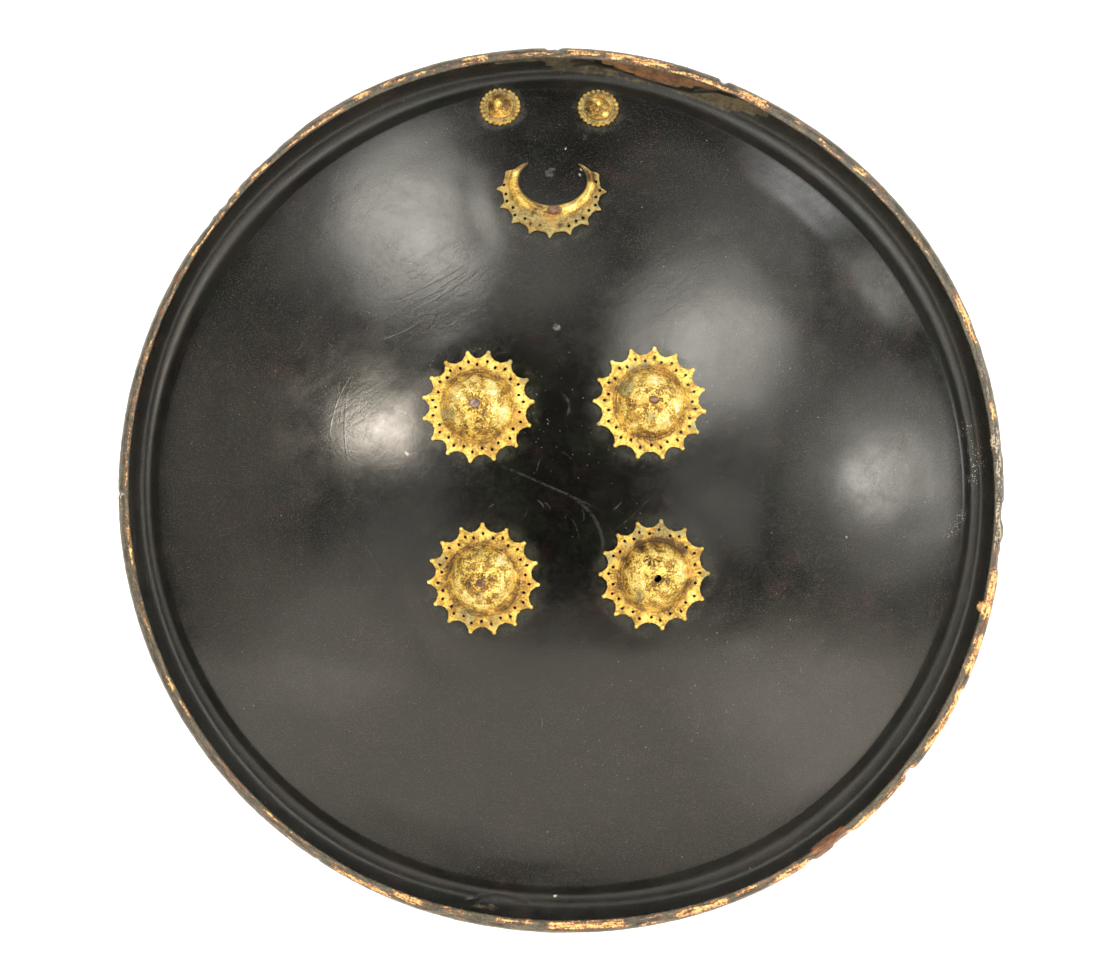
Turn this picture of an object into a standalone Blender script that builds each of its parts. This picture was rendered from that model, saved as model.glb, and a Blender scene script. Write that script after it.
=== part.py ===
"""A round hide shield with four gilt brass bosses, two small bosses and a crescent.

Metres, +Z up. The shield lies face up on the back of its turned-up edge. The
origin is on the resting plane, on the shield's axis. +Y runs to the edge where
the crescent and the two small bosses sit.
"""

import math

import bmesh
import bpy
from mathutils import Matrix, Vector

# Hide: outline and height
SHIELD_RADIUS = 0.280
CROWN_RISE = 0.058  # top of the dome above the shoulder
FLANK_CONE_HEIGHT = 0.105  # tip of the cone that the dome's flanks lean towards, above the crown
HIDE_THICKNESS = 0.005

# Hide: turned-up edge, each place measured inwards from the outer edge
SHOULDER_INSET = 0.0256  # where the dome ends and drops into the gutter
SHOULDER_HEIGHT = 0.0113
GUTTER_INSET = 0.0165
GUTTER_THICKNESS = 0.006  # hide under the gutter, down to the resting plane
LIP_WIDTH = 0.0068
LIP_HEIGHT = 0.0146
EDGE_HEIGHT = 0.009
FOOT_OUTER_INSET = 0.013  # the flat ring that the shield rests on
FOOT_WIDTH = 0.0075
LIP_INNER_SHAPE = ((0.40, 0.17), (0.80, 0.76))  # shares of run and rise
HAND_FORMED_BAND = 0.032  # the edge's out-of-round dies away over this width of the dome

# How far the hand-formed edge strays outwards from true circles, every 30 degrees from +X
EDGE_STRAY = (0.0, 0.0004, -0.001, -0.0002, 0.0022, -0.0001, 0.0, 0.0002, 0.0, -0.0002, 0.0032, 0.0044)
GUTTER_STRAY = (0.0005, 0.0, -0.0024, 0.0, 0.0024, 0.0026, 0.0, 0.0, 0.0005, -0.0035, 0.004, 0.0028)
SHOULDER_STRAY = (0.0005, -0.002, -0.004, 0.0013, 0.0, -0.0005, 0.0016, 0.0005, -0.001, -0.0026, 0.001, 0.0009)

# Large bosses
BOSS_RADIUS = 0.0352  # to the tip of a point
BOSS_VALLEY_RADIUS = 0.0298
BOSS_TIP_WIDTH = 0.0030
BOSS_NECK_WIDTH = 0.0024
BOSS_TIP_LENGTH = 0.0029
BOSS_SHEET = 0.0013
BOSS_BAND_OUTER = 0.0231
BOSS_BAND_WIDTH = 0.0023
BOSS_BAND_RISE = 0.0009
BOSS_GROOVE_WIDTH = 0.0010
BOSS_DOME_RISE = 0.0128  # crown of the dome above its flange
BOSS_BORE_RADIUS = 0.0019
OPEN_BORE_RADIUS = 0.00235  # the bore whose pin is lost
# Place, centre x, centre y, number of points, direction of one point in degrees, pin head's radius and metal
BOSSES = (
    ("upper_left", -0.05105, 0.0513, 15, 98.6, 0.0031, "iron"),
    ("upper_right", 0.05375, 0.0534, 15, 86.3, 0.0025, "copper"),
    ("lower_left", -0.04765, -0.0539, 15, 89.1, 0.0025, "copper"),
    ("lower_right", 0.05635, -0.0515, 14, 103.0, None, None),
)
PIN_HEAD_HEIGHT = 0.0017
PIN_CLENCH_RADIUS = 0.0038
PIN_CLENCH_HEIGHT = 0.0016
CLENCH_TAPER = 0.85  # radius of a clenched end's face as a share of its shoulder

# Small bosses: name, direction of the centre in degrees, its distance in from the outer edge
SMALL_BOSSES = (
    ("small_boss_left", 99.1, 0.0355),
    ("small_boss_right", 84.5, 0.0385),
)
SMALL_BOSS_RADIUS = 0.0131
SMALL_BOSS_TEETH = 22
SMALL_BOSS_TOOTH_DEPTH = 0.0009
SMALL_BOSS_SHEET = 0.0011
SMALL_BOSS_DOME_RADIUS = 0.0080
SMALL_BOSS_DOME_RISE = 0.0045
SMALL_BOSS_KNOB_RADIUS = 0.0018
SMALL_BOSS_KNOB_RISE = 0.0014
SMALL_BOSS_STEM_RADIUS = 0.0014
SMALL_BOSS_CLENCH_RADIUS = 0.0024

# Crescent: the outline is an ellipse around the centre, the opening one around a centre of its own
CRESCENT_DIRECTION = 91.9
CRESCENT_EDGE_DISTANCE = 0.0925  # its centre from the outer edge
CRESCENT_TIP_RADII = (0.0342, 0.0333)
CRESCENT_POINT_DEPTH = 0.0042
CRESCENT_POINTS = 11
POINT_PITCH = 22.1  # degrees from one point to the next, and from the last point to the horn tip
MIDDLE_POINT = 268.0  # direction of the middle point, degrees
OPENING_SHIFT = (0.0007, 0.0056)
OPENING_RADII = (0.0215, 0.0169)
CRESCENT_SHEET = 0.0012
RIDGE_WIDTH = 0.0092
RIDGE_RISE = 0.0026
HORN_SHARE = 0.30  # how much of the crescent's fullness is reached where a horn stops tapering
HORN_BLUNTNESS = 0.06  # share of the full width left at a horn's tip
RIDGE_END_SHARE = 0.45  # ridge width at the horns over its width in the middle
RIDGE_MOST = 0.65  # share of the crescent's width that the ridge may take
RIVET_DIRECTION = 273.0
RIVET_HEAD_RADII = (0.0046, 0.0029)
RIVET_HEAD_HEIGHT = 0.0011
RIVET_SHANK_RADIUS = 0.0016
RIVET_CLENCH_RADIUS = 0.0032
RIVET_CLENCH_HEIGHT = 0.0013

# Clearances between pieces that touch
SEAT_GAP = 0.0003
BORE_GAP = 0.0003
CLENCH_GAP = 0.0006  # the facets of the hide's back stand lower than its true curve

# Facets
HIDE_SEGMENTS = 54
CROWN_STEPS = 10
INNER_STEPS = 8
BOSS_SEGMENTS = 20
SMALL_BOSS_SEGMENTS = 12
PIN_SEGMENTS = 8
SHARP_ANGLE = 35.0
MERGE = 0.00001


def make_collection(name):
    """Return a new collection linked into the scene."""
    collection = bpy.data.collections.new(name)
    bpy.context.scene.collection.children.link(collection)
    return collection


def make_material(name, colour, roughness, metallic):
    """Return a plain Principled material."""
    material = bpy.data.materials.new(name)
    material.use_nodes = True
    shader = material.node_tree.nodes["Principled BSDF"]
    shader.inputs["Base Color"].default_value = (*colour, 1.0)
    shader.inputs["Roughness"].default_value = roughness
    shader.inputs["Metallic"].default_value = metallic
    material.diffuse_color = (*colour, 1.0)
    return material


def add_object(name, mesh, collection, material=None):
    """Link a mesh into a collection as a named object."""
    obj = bpy.data.objects.new(name, mesh)
    collection.objects.link(obj)
    if material is not None:
        mesh.materials.clear()
        mesh.materials.append(material)
    return obj


def evaluated_mesh(obj):
    """Return the object's mesh with its modifiers applied, caps welded and faces in triangles."""
    bpy.context.view_layer.update()
    depsgraph = bpy.context.evaluated_depsgraph_get()
    mesh = bpy.data.meshes.new_from_object(obj.evaluated_get(depsgraph))
    work = bmesh.new()
    work.from_mesh(mesh)
    bmesh.ops.remove_doubles(work, verts=work.verts, dist=MERGE)
    bmesh.ops.triangulate(work, faces=work.faces)
    work.to_mesh(mesh)
    work.free()
    return mesh


def shade(mesh):
    """Shade a mesh smooth, with its sharper edges left sharp."""
    mesh.shade_smooth()
    mesh.set_sharp_from_angle(angle=math.radians(SHARP_ANGLE))


def turned_mesh(name, profile, segments, closed):
    """Spin a profile of (radius, height) about Z, listed down its outer side."""
    mesh = bpy.data.meshes.new(name)
    points = [(radius, 0.0, height) for radius, height in profile]
    edges = [(index, index + 1) for index in range(len(points) - 1)]
    if closed:
        edges.append((len(points) - 1, 0))
    mesh.from_pydata(points, edges, [])
    obj = bpy.data.objects.new(name, mesh)
    bpy.context.scene.collection.objects.link(obj)
    screw = obj.modifiers.new("Turn", "SCREW")
    screw.axis = "Z"
    screw.steps = segments
    screw.render_steps = segments
    screw.use_merge_vertices = True
    screw.merge_threshold = MERGE
    result = evaluated_mesh(obj)
    bpy.data.objects.remove(obj)
    bpy.data.meshes.remove(mesh)
    result.name = name
    return result


def even_out(mesh):
    """Turn a flat plate's long thin triangles into short ones, so that it can be bent."""
    work = bmesh.new()
    work.from_mesh(mesh)
    flat = [edge for edge in work.edges if edge.calc_face_angle(1.0) < 0.01]
    bmesh.ops.beautify_fill(work, faces=work.faces, edges=flat, method="AREA")
    work.to_mesh(mesh)
    work.free()


def plate_mesh(name, outlines, thickness):
    """Fill flat outlines, the first with the others as holes, into a plate from Z 0 to thickness."""
    curve = bpy.data.curves.new(name, "CURVE")
    curve.dimensions = "2D"
    curve.fill_mode = "BOTH"
    curve.extrude = thickness / 2
    for outline in outlines:
        spline = curve.splines.new("POLY")
        spline.points.add(len(outline) - 1)
        for point, (x, y) in zip(spline.points, outline):
            point.co = (x, y, 0.0, 1.0)
        spline.use_cyclic_u = True
    obj = bpy.data.objects.new(name, curve)
    bpy.context.scene.collection.objects.link(obj)
    mesh = evaluated_mesh(obj)
    mesh.transform(Matrix.Translation((0.0, 0.0, thickness / 2)))
    even_out(mesh)
    bpy.data.objects.remove(obj)
    bpy.data.curves.remove(curve)
    return mesh


def ring_points(radius, count):
    """Return points evenly spaced on a circle."""
    angles = (math.tau * index / count for index in range(count))
    return [(radius * math.cos(angle), radius * math.sin(angle)) for angle in angles]


def combine(obj, other, operation):
    """Add an exact boolean with another object."""
    boolean = obj.modifiers.new(other.name, "BOOLEAN")
    boolean.operation = operation
    boolean.solver = "EXACT"
    boolean.object = other


def stray(table, angle):
    """Read a table of evenly spaced stations as a smooth closed curve."""
    count = len(table)
    place = (angle % math.tau) / math.tau * count
    index = int(place)
    t = place - index
    before, start, end, after = (table[(index + step) % count] for step in (-1, 0, 1, 2))
    bend = (3 * (start - end) + after - before) * t
    return start + 0.5 * t * (end - before + t * (2 * before - 5 * start + 4 * end - after + bend))


def edge_shift(radius, angle):
    """Return how far the hide at a nominal radius strays outwards in a direction."""
    shoulder = SHIELD_RADIUS - SHOULDER_INSET
    gutter = SHIELD_RADIUS - GUTTER_INSET
    if radius <= shoulder:
        share = max(0.0, 1 - (shoulder - radius) / HAND_FORMED_BAND)
        return stray(SHOULDER_STRAY, angle) * share * share * (3 - 2 * share)
    if radius <= gutter:
        share = (radius - shoulder) / (gutter - shoulder)
        return stray(SHOULDER_STRAY, angle) * (1 - share) + stray(GUTTER_STRAY, angle) * share
    share = (radius - gutter) / (SHIELD_RADIUS - gutter)
    return stray(GUTTER_STRAY, angle) * (1 - share) + stray(EDGE_STRAY, angle) * share


def crown_steepness():
    """Return the slope factor that brings the dome down to the shoulder."""
    reach = SHIELD_RADIUS - SHOULDER_INSET
    return ((CROWN_RISE + FLANK_CONE_HEIGHT) ** 2 - FLANK_CONE_HEIGHT ** 2) / reach ** 2


def dome_height(radius):
    """Return the height of the dome's face at a nominal radius, a hyperbola with a round crown."""
    apex = SHOULDER_HEIGHT + CROWN_RISE
    return apex + FLANK_CONE_HEIGHT - math.sqrt(FLANK_CONE_HEIGHT ** 2 + crown_steepness() * radius ** 2)


def dome_slope(radius):
    """Return the dome's fall per metre at a nominal radius."""
    steepness = crown_steepness()
    return steepness * radius / math.sqrt(FLANK_CONE_HEIGHT ** 2 + steepness * radius ** 2)


def back_height(radius):
    """Return the height of the hide's back at a nominal radius inside the resting ring."""
    turn = SHIELD_RADIUS - SHOULDER_INSET - 3 * HIDE_THICKNESS
    foot = SHIELD_RADIUS - FOOT_OUTER_INSET - FOOT_WIDTH
    face = min(radius, turn)
    for _ in range(3):
        slope = dome_slope(face)
        face = min(radius, turn) + HIDE_THICKNESS * slope / math.hypot(1.0, slope)
    height = dome_height(face) - HIDE_THICKNESS / math.hypot(1.0, slope)
    if radius <= turn:
        return height
    t = min(1.0, (radius - turn) / (foot - turn))
    bend = (t ** 3 - 2 * t ** 2 + t) * (foot - turn) * -slope
    return (2 * t ** 3 - 3 * t ** 2 + 1) * height + bend


def hide_depth(frame, reach):
    """Return how deep the hide goes along a frame's Z, at most, within a reach of the frame's centre."""
    outwards = Vector((frame.translation.x, frame.translation.y, 0.0)).normalized()
    normal = frame_normal(frame)
    deepest = 0.0
    for offset in (-reach, 0.0, reach):
        depth = HIDE_THICKNESS
        for _ in range(6):
            point = frame.translation + outwards * offset - normal * depth
            depth += (point.z - back_height(math.hypot(point.x, point.y))) / normal.z
        deepest = max(deepest, (frame.translation - point).dot(normal))
    return deepest


def face_height(x, y):
    """Return the height of the dome's face over a point, carried on past the shoulder."""
    radius = math.hypot(x, y)
    angle = math.atan2(y, x)
    nominal = radius
    for _ in range(6):
        nominal = radius - edge_shift(min(nominal, SHIELD_RADIUS - SHOULDER_INSET), angle)
    return dome_height(nominal)


def polar_place(direction, inset):
    """Return the plan position in a direction, at a distance in from the outer edge."""
    angle = math.radians(direction)
    return ((SHIELD_RADIUS - inset) * math.cos(angle), (SHIELD_RADIUS - inset) * math.sin(angle))


def seat_frame(x, y):
    """Return the matrix of a frame on the dome's face, with Z along the face's normal."""
    radius = math.hypot(x, y)
    slope = dome_slope(radius)
    normal = Vector((slope * x / radius, slope * y / radius, 1.0)).normalized()
    across = Vector((1.0, 0.0, 0.0))
    across = (across - normal * across.dot(normal)).normalized()
    along = normal.cross(across)
    turn = Matrix((across, along, normal)).transposed().to_4x4()
    return Matrix.Translation((x, y, face_height(x, y))) @ turn


def frame_normal(frame):
    """Return the direction of a frame's Z."""
    return (frame.to_3x3() @ Vector((0.0, 0.0, 1.0))).normalized()


def foot_on_face(frame, x, y):
    """Return the point of the face that lies along a frame's Z over its local x and y."""
    normal = frame_normal(frame)
    foot = frame @ Vector((x, y, 0.0))
    for _ in range(5):
        foot -= normal * ((foot.z - face_height(foot.x, foot.y)) / normal.z)
    return foot


def seat_on_face(mesh, frame):
    """Move a mesh to a frame on the dome and bend it so that its Z 0 follows the face."""
    normal = frame_normal(frame)
    for vertex in mesh.vertices:
        vertex.co = foot_on_face(frame, vertex.co.x, vertex.co.y) + normal * (SEAT_GAP + vertex.co.z)


def arc(centre, radii, start, end, steps):
    """Return points along a quarter ellipse or any arc of one, angles in degrees, both ends included."""
    points = []
    for index in range(steps + 1):
        angle = math.radians(start + (end - start) * index / steps)
        points.append((centre[0] + radii[0] * math.cos(angle), centre[1] + radii[1] * math.sin(angle)))
    return points


def hide_profile():
    """Return the closed section of the hide, from the crown down the face and back inside."""
    shoulder = SHIELD_RADIUS - SHOULDER_INSET
    gutter = SHIELD_RADIUS - GUTTER_INSET
    arris = SHIELD_RADIUS - LIP_WIDTH
    foot_outer = SHIELD_RADIUS - FOOT_OUTER_INSET
    foot_inner = foot_outer - FOOT_WIDTH
    profile = []
    for index in range(CROWN_STEPS + 1):
        radius = shoulder * index / CROWN_STEPS
        profile.append((radius, dome_height(radius)))
    drop = SHOULDER_HEIGHT - GUTTER_THICKNESS
    lip = LIP_HEIGHT - GUTTER_THICKNESS
    for share in (1 / 3, 2 / 3, 1.0):
        profile.append((shoulder + (gutter - shoulder) * share, GUTTER_THICKNESS + drop * (1 - share) ** 2))
    for run, rise in LIP_INNER_SHAPE:
        profile.append((gutter + (arris - gutter) * run, GUTTER_THICKNESS + lip * rise))
    profile += arc((arris, EDGE_HEIGHT), (LIP_WIDTH, LIP_HEIGHT - EDGE_HEIGHT), 90, 0, 3)
    profile += arc((foot_outer, EDGE_HEIGHT), (FOOT_OUTER_INSET, EDGE_HEIGHT), 0, -90, 2)[1:]
    turn = shoulder - 3 * HIDE_THICKNESS
    back = [turn * index / INNER_STEPS for index in range(INNER_STEPS + 1)]
    back += [turn + (foot_inner - turn) * share for share in (1 / 3, 2 / 3, 1.0)]
    return profile + [(radius, back_height(radius)) for radius in reversed(back)]


def make_hide(collection, cutters, material):
    """Turn the hide, let its edge stray from round, and bore it for the pins."""
    mesh = turned_mesh("hide_shell", hide_profile(), HIDE_SEGMENTS, closed=False)
    for vertex in mesh.vertices:
        radius = math.hypot(vertex.co.x, vertex.co.y)
        if radius < MERGE:
            continue
        angle = math.atan2(vertex.co.y, vertex.co.x)
        factor = 1 + edge_shift(radius, angle) / radius
        vertex.co.x *= factor
        vertex.co.y *= factor
    shade(mesh)
    hide = add_object("hide_shell", mesh, collection, material)
    for cutter in cutters:
        combine(hide, cutter, "DIFFERENCE")


def make_bore(name, frame, radius, collection):
    """Return a round cutter that runs through the hide along a frame's Z."""
    work = bmesh.new()
    depth = 6 * HIDE_THICKNESS
    bmesh.ops.create_cone(
        work, cap_ends=True, segments=PIN_SEGMENTS, radius1=radius, radius2=radius, depth=depth, matrix=frame
    )
    mesh = bpy.data.meshes.new(name)
    work.to_mesh(mesh)
    work.free()
    cutter = add_object(name, mesh, collection)
    cutter.hide_render = True
    cutter.display_type = "WIRE"
    return cutter


def rosette_outline(points, direction):
    """Return a flange outline: blunt knobs on narrow necks, with hollows between them."""
    pitch = math.tau / points
    neck_radius = BOSS_RADIUS - BOSS_TIP_LENGTH
    outline = []
    for index in range(points):
        middle = math.radians(direction) + index * pitch
        places = (
            (neck_radius, -BOSS_NECK_WIDTH / 2 / neck_radius),
            (BOSS_RADIUS, -BOSS_TIP_WIDTH / 2 / BOSS_RADIUS),
            (BOSS_RADIUS, BOSS_TIP_WIDTH / 2 / BOSS_RADIUS),
            (neck_radius, BOSS_NECK_WIDTH / 2 / neck_radius),
            (BOSS_VALLEY_RADIUS, 0.5 * pitch),
        )
        for radius, offset in places:
            outline.append((radius * math.cos(middle + offset), radius * math.sin(middle + offset)))
    return outline


def cap_profile(base_radius, rise, top_radius, base_height, steps):
    """Return a spherical cap's points from the edge of its top bore down to its base."""
    sphere = (base_radius ** 2 + rise ** 2) / (2 * rise)
    centre = base_height + rise - sphere
    start = math.asin(min(1.0, top_radius / sphere))
    end = math.atan2(base_radius, base_height - centre)
    points = []
    for index in range(steps + 1):
        angle = start + (end - start) * index / steps
        points.append((sphere * math.sin(angle), centre + sphere * math.cos(angle)))
    return points


def boss_dome_radius():
    """Return the radius of a large boss's dome at its foot, inside the groove and the band."""
    return BOSS_BAND_OUTER - BOSS_BAND_WIDTH - BOSS_GROOVE_WIDTH


def boss_dome_profile(bore_radius):
    """Return the closed section of a boss's hollow dome and the band around its foot."""
    band_height = BOSS_SHEET + BOSS_BAND_RISE
    foot = BOSS_SHEET + BOSS_BAND_RISE * 0.3
    rise = BOSS_DOME_RISE + BOSS_SHEET - foot
    outer = cap_profile(boss_dome_radius(), rise, bore_radius, foot, 4)
    inner = cap_profile(boss_dome_radius() - BOSS_SHEET, rise - BOSS_SHEET, bore_radius, foot, 2)
    band = [
        (BOSS_BAND_OUTER - BOSS_BAND_WIDTH, band_height),
        (BOSS_BAND_OUTER - BOSS_BAND_RISE / 2, band_height),
        (BOSS_BAND_OUTER, BOSS_SHEET * 0.6),
        (boss_dome_radius() - BOSS_SHEET, BOSS_SHEET * 0.4),
    ]
    return outer + band + inner[::-1]


def join_on_face(name, flange, dome, frame, collection, material):
    """Bend a flange and a dome onto the face, join them into one piece and name it."""
    for mesh in (flange, dome):
        seat_on_face(mesh, frame)
    blank = add_object(name + "_blank", flange, collection)
    helper = add_object(name + "_dome", dome, collection)
    combine(blank, helper, "UNION")
    mesh = evaluated_mesh(blank)
    bpy.data.objects.remove(blank)
    bpy.data.objects.remove(helper)
    shade(mesh)
    return add_object(name, mesh, collection, material)


def make_boss(name, frame, points, direction, bore_radius, collection, material):
    """Make one large boss: a pointed flange and a hollow dome joined into one sheet."""
    opening = ring_points(boss_dome_radius() - BOSS_SHEET / 2, BOSS_SEGMENTS)
    flange = plate_mesh(name + "_flange", [rosette_outline(points, direction), opening], BOSS_SHEET)
    dome = turned_mesh(name + "_dome", boss_dome_profile(bore_radius), BOSS_SEGMENTS, closed=True)
    return join_on_face(name, flange, dome, frame, collection, material)


def make_pin(name, frame, seat, head_radii, head_height, shank_radius, clench, collection, material):
    """Turn a pin and place it on a frame of the dome.

    Its round or oval head sits at the height of seat over the face. Its end is
    clenched behind the hide, clench being the radius and the height there.
    """
    clench_radius, clench_height = clench
    tail = -hide_depth(frame, clench_radius) - CLENCH_GAP
    head = arc((0.0, seat), (head_radii[1], head_height), 90, 0, 2)
    shank = [(shank_radius, seat), (shank_radius, tail)]
    end = [
        (clench_radius, tail),
        (clench_radius * CLENCH_TAPER, tail - clench_height),
        (0.0, tail - clench_height),
    ]
    mesh = turned_mesh(name, head + shank + end, PIN_SEGMENTS, closed=False)
    for vertex in mesh.vertices:
        if vertex.co.z > 0 and math.hypot(vertex.co.x, vertex.co.y) > shank_radius + MERGE:
            vertex.co.x *= head_radii[0] / head_radii[1]
    mesh.transform(frame)
    shade(mesh)
    add_object(name, mesh, collection, material)


def small_boss_profile(tail):
    """Return a small boss's closed section with its knob above and its stem and clench behind."""
    sheet = SMALL_BOSS_SHEET
    crown = sheet + SMALL_BOSS_DOME_RISE
    knob = arc((0.0, crown), (SMALL_BOSS_KNOB_RADIUS, SMALL_BOSS_KNOB_RISE), 90, 0, 2)
    foot = sheet * 0.6
    dome = cap_profile(SMALL_BOSS_DOME_RADIUS, crown - foot, SMALL_BOSS_KNOB_RADIUS, foot, 3)
    stem = [
        (SMALL_BOSS_DOME_RADIUS - sheet / 2, sheet * 0.3),
        (SMALL_BOSS_STEM_RADIUS, sheet * 0.3),
        (SMALL_BOSS_STEM_RADIUS, tail),
        (SMALL_BOSS_CLENCH_RADIUS, tail),
        (SMALL_BOSS_CLENCH_RADIUS, tail - sheet),
        (0.0, tail - sheet),
    ]
    return knob + dome + stem


def make_small_boss(name, frame, collection, material):
    """Make one small boss: a toothed plate under a knobbed dome, on a stem through the hide."""
    outline = []
    for index in range(SMALL_BOSS_TEETH):
        middle = math.tau * index / SMALL_BOSS_TEETH
        for radius, offset in ((SMALL_BOSS_RADIUS, 0.0), (SMALL_BOSS_RADIUS - SMALL_BOSS_TOOTH_DEPTH, 0.5)):
            angle = middle + offset * math.tau / SMALL_BOSS_TEETH
            outline.append((radius * math.cos(angle), radius * math.sin(angle)))
    opening = ring_points(SMALL_BOSS_DOME_RADIUS - SMALL_BOSS_SHEET, SMALL_BOSS_SEGMENTS)
    plate = plate_mesh(name + "_plate", [outline, opening], SMALL_BOSS_SHEET)
    tail = -hide_depth(frame, SMALL_BOSS_CLENCH_RADIUS) - CLENCH_GAP - SEAT_GAP
    dome = turned_mesh(name + "_dome", small_boss_profile(tail), SMALL_BOSS_SEGMENTS, closed=False)
    return join_on_face(name, plate, dome, frame, collection, material)


def ellipse_point(centre, radii, angle):
    """Return a point of an ellipse at a parameter angle."""
    return Vector((centre[0] + radii[0] * math.cos(angle), centre[1] + radii[1] * math.sin(angle)))


def crescent_section(share):
    """Return the closed section of the crescent at a share of its length from horn to horn."""
    spaces = CRESCENT_POINTS + 1
    angle = math.radians(MIDDLE_POINT + POINT_PITCH * spaces * (share - 0.5))
    fullness = math.sin(math.pi * share)
    taper = min(1.0, fullness / HORN_SHARE) ** 0.75
    wave = abs(math.cos(math.pi * share * spaces))
    radii = [radius - CRESCENT_POINT_DEPTH * (1 - wave ** 1.5) for radius in CRESCENT_TIP_RADII]
    inner = ellipse_point(OPENING_SHIFT, OPENING_RADII, angle)
    outer = inner.lerp(ellipse_point((0.0, 0.0), radii, angle), HORN_BLUNTNESS + (1 - HORN_BLUNTNESS) * taper)
    width = (outer - inner).length
    ridge = RIDGE_WIDTH * (RIDGE_END_SHARE + (1 - RIDGE_END_SHARE) * fullness)
    ridge = min(ridge, width * RIDGE_MOST)
    rise = RIDGE_RISE * min(1.0, ridge / RIDGE_WIDTH + HORN_SHARE)
    direction = (outer - inner).normalized()
    places = [(0.0, 0.0), (0.0, CRESCENT_SHEET)]
    for step in (0.22, 0.5, 0.78):
        places.append((ridge * step, CRESCENT_SHEET + rise * math.sin(math.pi * step)))
    places += [(ridge, CRESCENT_SHEET), (width, CRESCENT_SHEET), (width, 0.0)]
    return [(*(inner + direction * run), height) for run, height in places]


def make_crescent(frame, cutter, collection, material):
    """Loft the crescent from horn to horn, seat it on the dome and bore it for its rivet."""
    sections = 3 * (CRESCENT_POINTS + 1)
    work = bmesh.new()
    loops = []
    for index in range(sections + 1):
        loops.append([work.verts.new(place) for place in crescent_section(index / sections)])
    count = len(loops[0])
    for first, second in zip(loops, loops[1:]):
        for index in range(count):
            after = (index + 1) % count
            work.faces.new((first[index], first[after], second[after], second[index]))
    work.faces.new(loops[0])
    work.faces.new(loops[-1])
    bmesh.ops.recalc_face_normals(work, faces=work.faces)
    bmesh.ops.triangulate(work, faces=work.faces)
    mesh = bpy.data.meshes.new("crescent")
    work.to_mesh(mesh)
    work.free()
    seat_on_face(mesh, frame)
    shade(mesh)
    crescent = add_object("crescent", mesh, collection, material)
    combine(crescent, cutter, "DIFFERENCE")


def rivet_frame(frame):
    """Return the frame of the crescent's rivet, in the middle of the raised band."""
    angle = math.radians(RIVET_DIRECTION)
    inner = ellipse_point(OPENING_SHIFT, OPENING_RADII, angle)
    outer = ellipse_point((0.0, 0.0), CRESCENT_TIP_RADII, angle)
    place = inner + (outer - inner).normalized() * RIDGE_WIDTH / 2
    foot = foot_on_face(frame, place.x, place.y)
    return seat_frame(foot.x, foot.y)


def build_shield():
    """Build the whole shield."""
    for obj in list(bpy.data.objects):
        bpy.data.objects.remove(obj)
    shield = make_collection("hide_shield")
    cutters = make_collection("hide_shield_cutters")
    hide_finish = make_material("lacquered_hide", (0.018, 0.015, 0.013), 0.42, 0.0)
    gilt = make_material("gilt_brass", (0.62, 0.42, 0.14), 0.36, 1.0)
    iron = make_material("iron_pin", (0.16, 0.12, 0.10), 0.60, 0.8)
    copper = make_material("copper_pin", (0.50, 0.28, 0.18), 0.45, 0.9)

    bores = []
    metals = {"iron": iron, "copper": copper}
    for place, x, y, points, direction, head, metal in BOSSES:
        frame = seat_frame(x, y)
        bore = BOSS_BORE_RADIUS if head else OPEN_BORE_RADIUS
        bores.append(make_bore("boss_bore_" + place, frame, bore, cutters))
        make_boss("boss_" + place, frame, points, direction, bore, shield, gilt)
        if head:
            seat = BOSS_SHEET + BOSS_DOME_RISE + 2 * SEAT_GAP
            shank = BOSS_BORE_RADIUS - BORE_GAP
            end = (PIN_CLENCH_RADIUS, PIN_CLENCH_HEIGHT)
            name = "boss_pin_" + place
            make_pin(name, frame, seat, (head, head), PIN_HEAD_HEIGHT, shank, end, shield, metals[metal])

    for name, direction, inset in SMALL_BOSSES:
        frame = seat_frame(*polar_place(direction, inset))
        bores.append(make_bore(name + "_bore", frame, SMALL_BOSS_STEM_RADIUS + BORE_GAP, cutters))
        make_small_boss(name, frame, shield, gilt)

    crescent_frame = seat_frame(*polar_place(CRESCENT_DIRECTION, CRESCENT_EDGE_DISTANCE))
    frame = rivet_frame(crescent_frame)
    bores.append(make_bore("crescent_rivet_bore", frame, RIVET_SHANK_RADIUS + BORE_GAP, cutters))
    make_crescent(crescent_frame, bores[-1], shield, gilt)
    seat = CRESCENT_SHEET + RIDGE_RISE + 2 * SEAT_GAP
    end = (RIVET_CLENCH_RADIUS, RIVET_CLENCH_HEIGHT)
    name = "crescent_rivet"
    make_pin(name, frame, seat, RIVET_HEAD_RADII, RIVET_HEAD_HEIGHT, RIVET_SHANK_RADIUS, end, shield, copper)
    make_hide(shield, bores, hide_finish)


build_shield()
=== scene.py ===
"""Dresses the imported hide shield: finer pieces, their finishes, the studio and the camera.

Metres, +Z up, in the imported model's own frame. The shield lies face up and the camera looks
straight down on it, with +Y at the top of the picture.
"""

import logging
import math
from collections.abc import Iterable, Sequence
from dataclasses import dataclass, field
from enum import Enum
from functools import reduce

import bmesh
import bpy
import numpy as np
from mathutils import Matrix, Vector, noise


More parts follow.
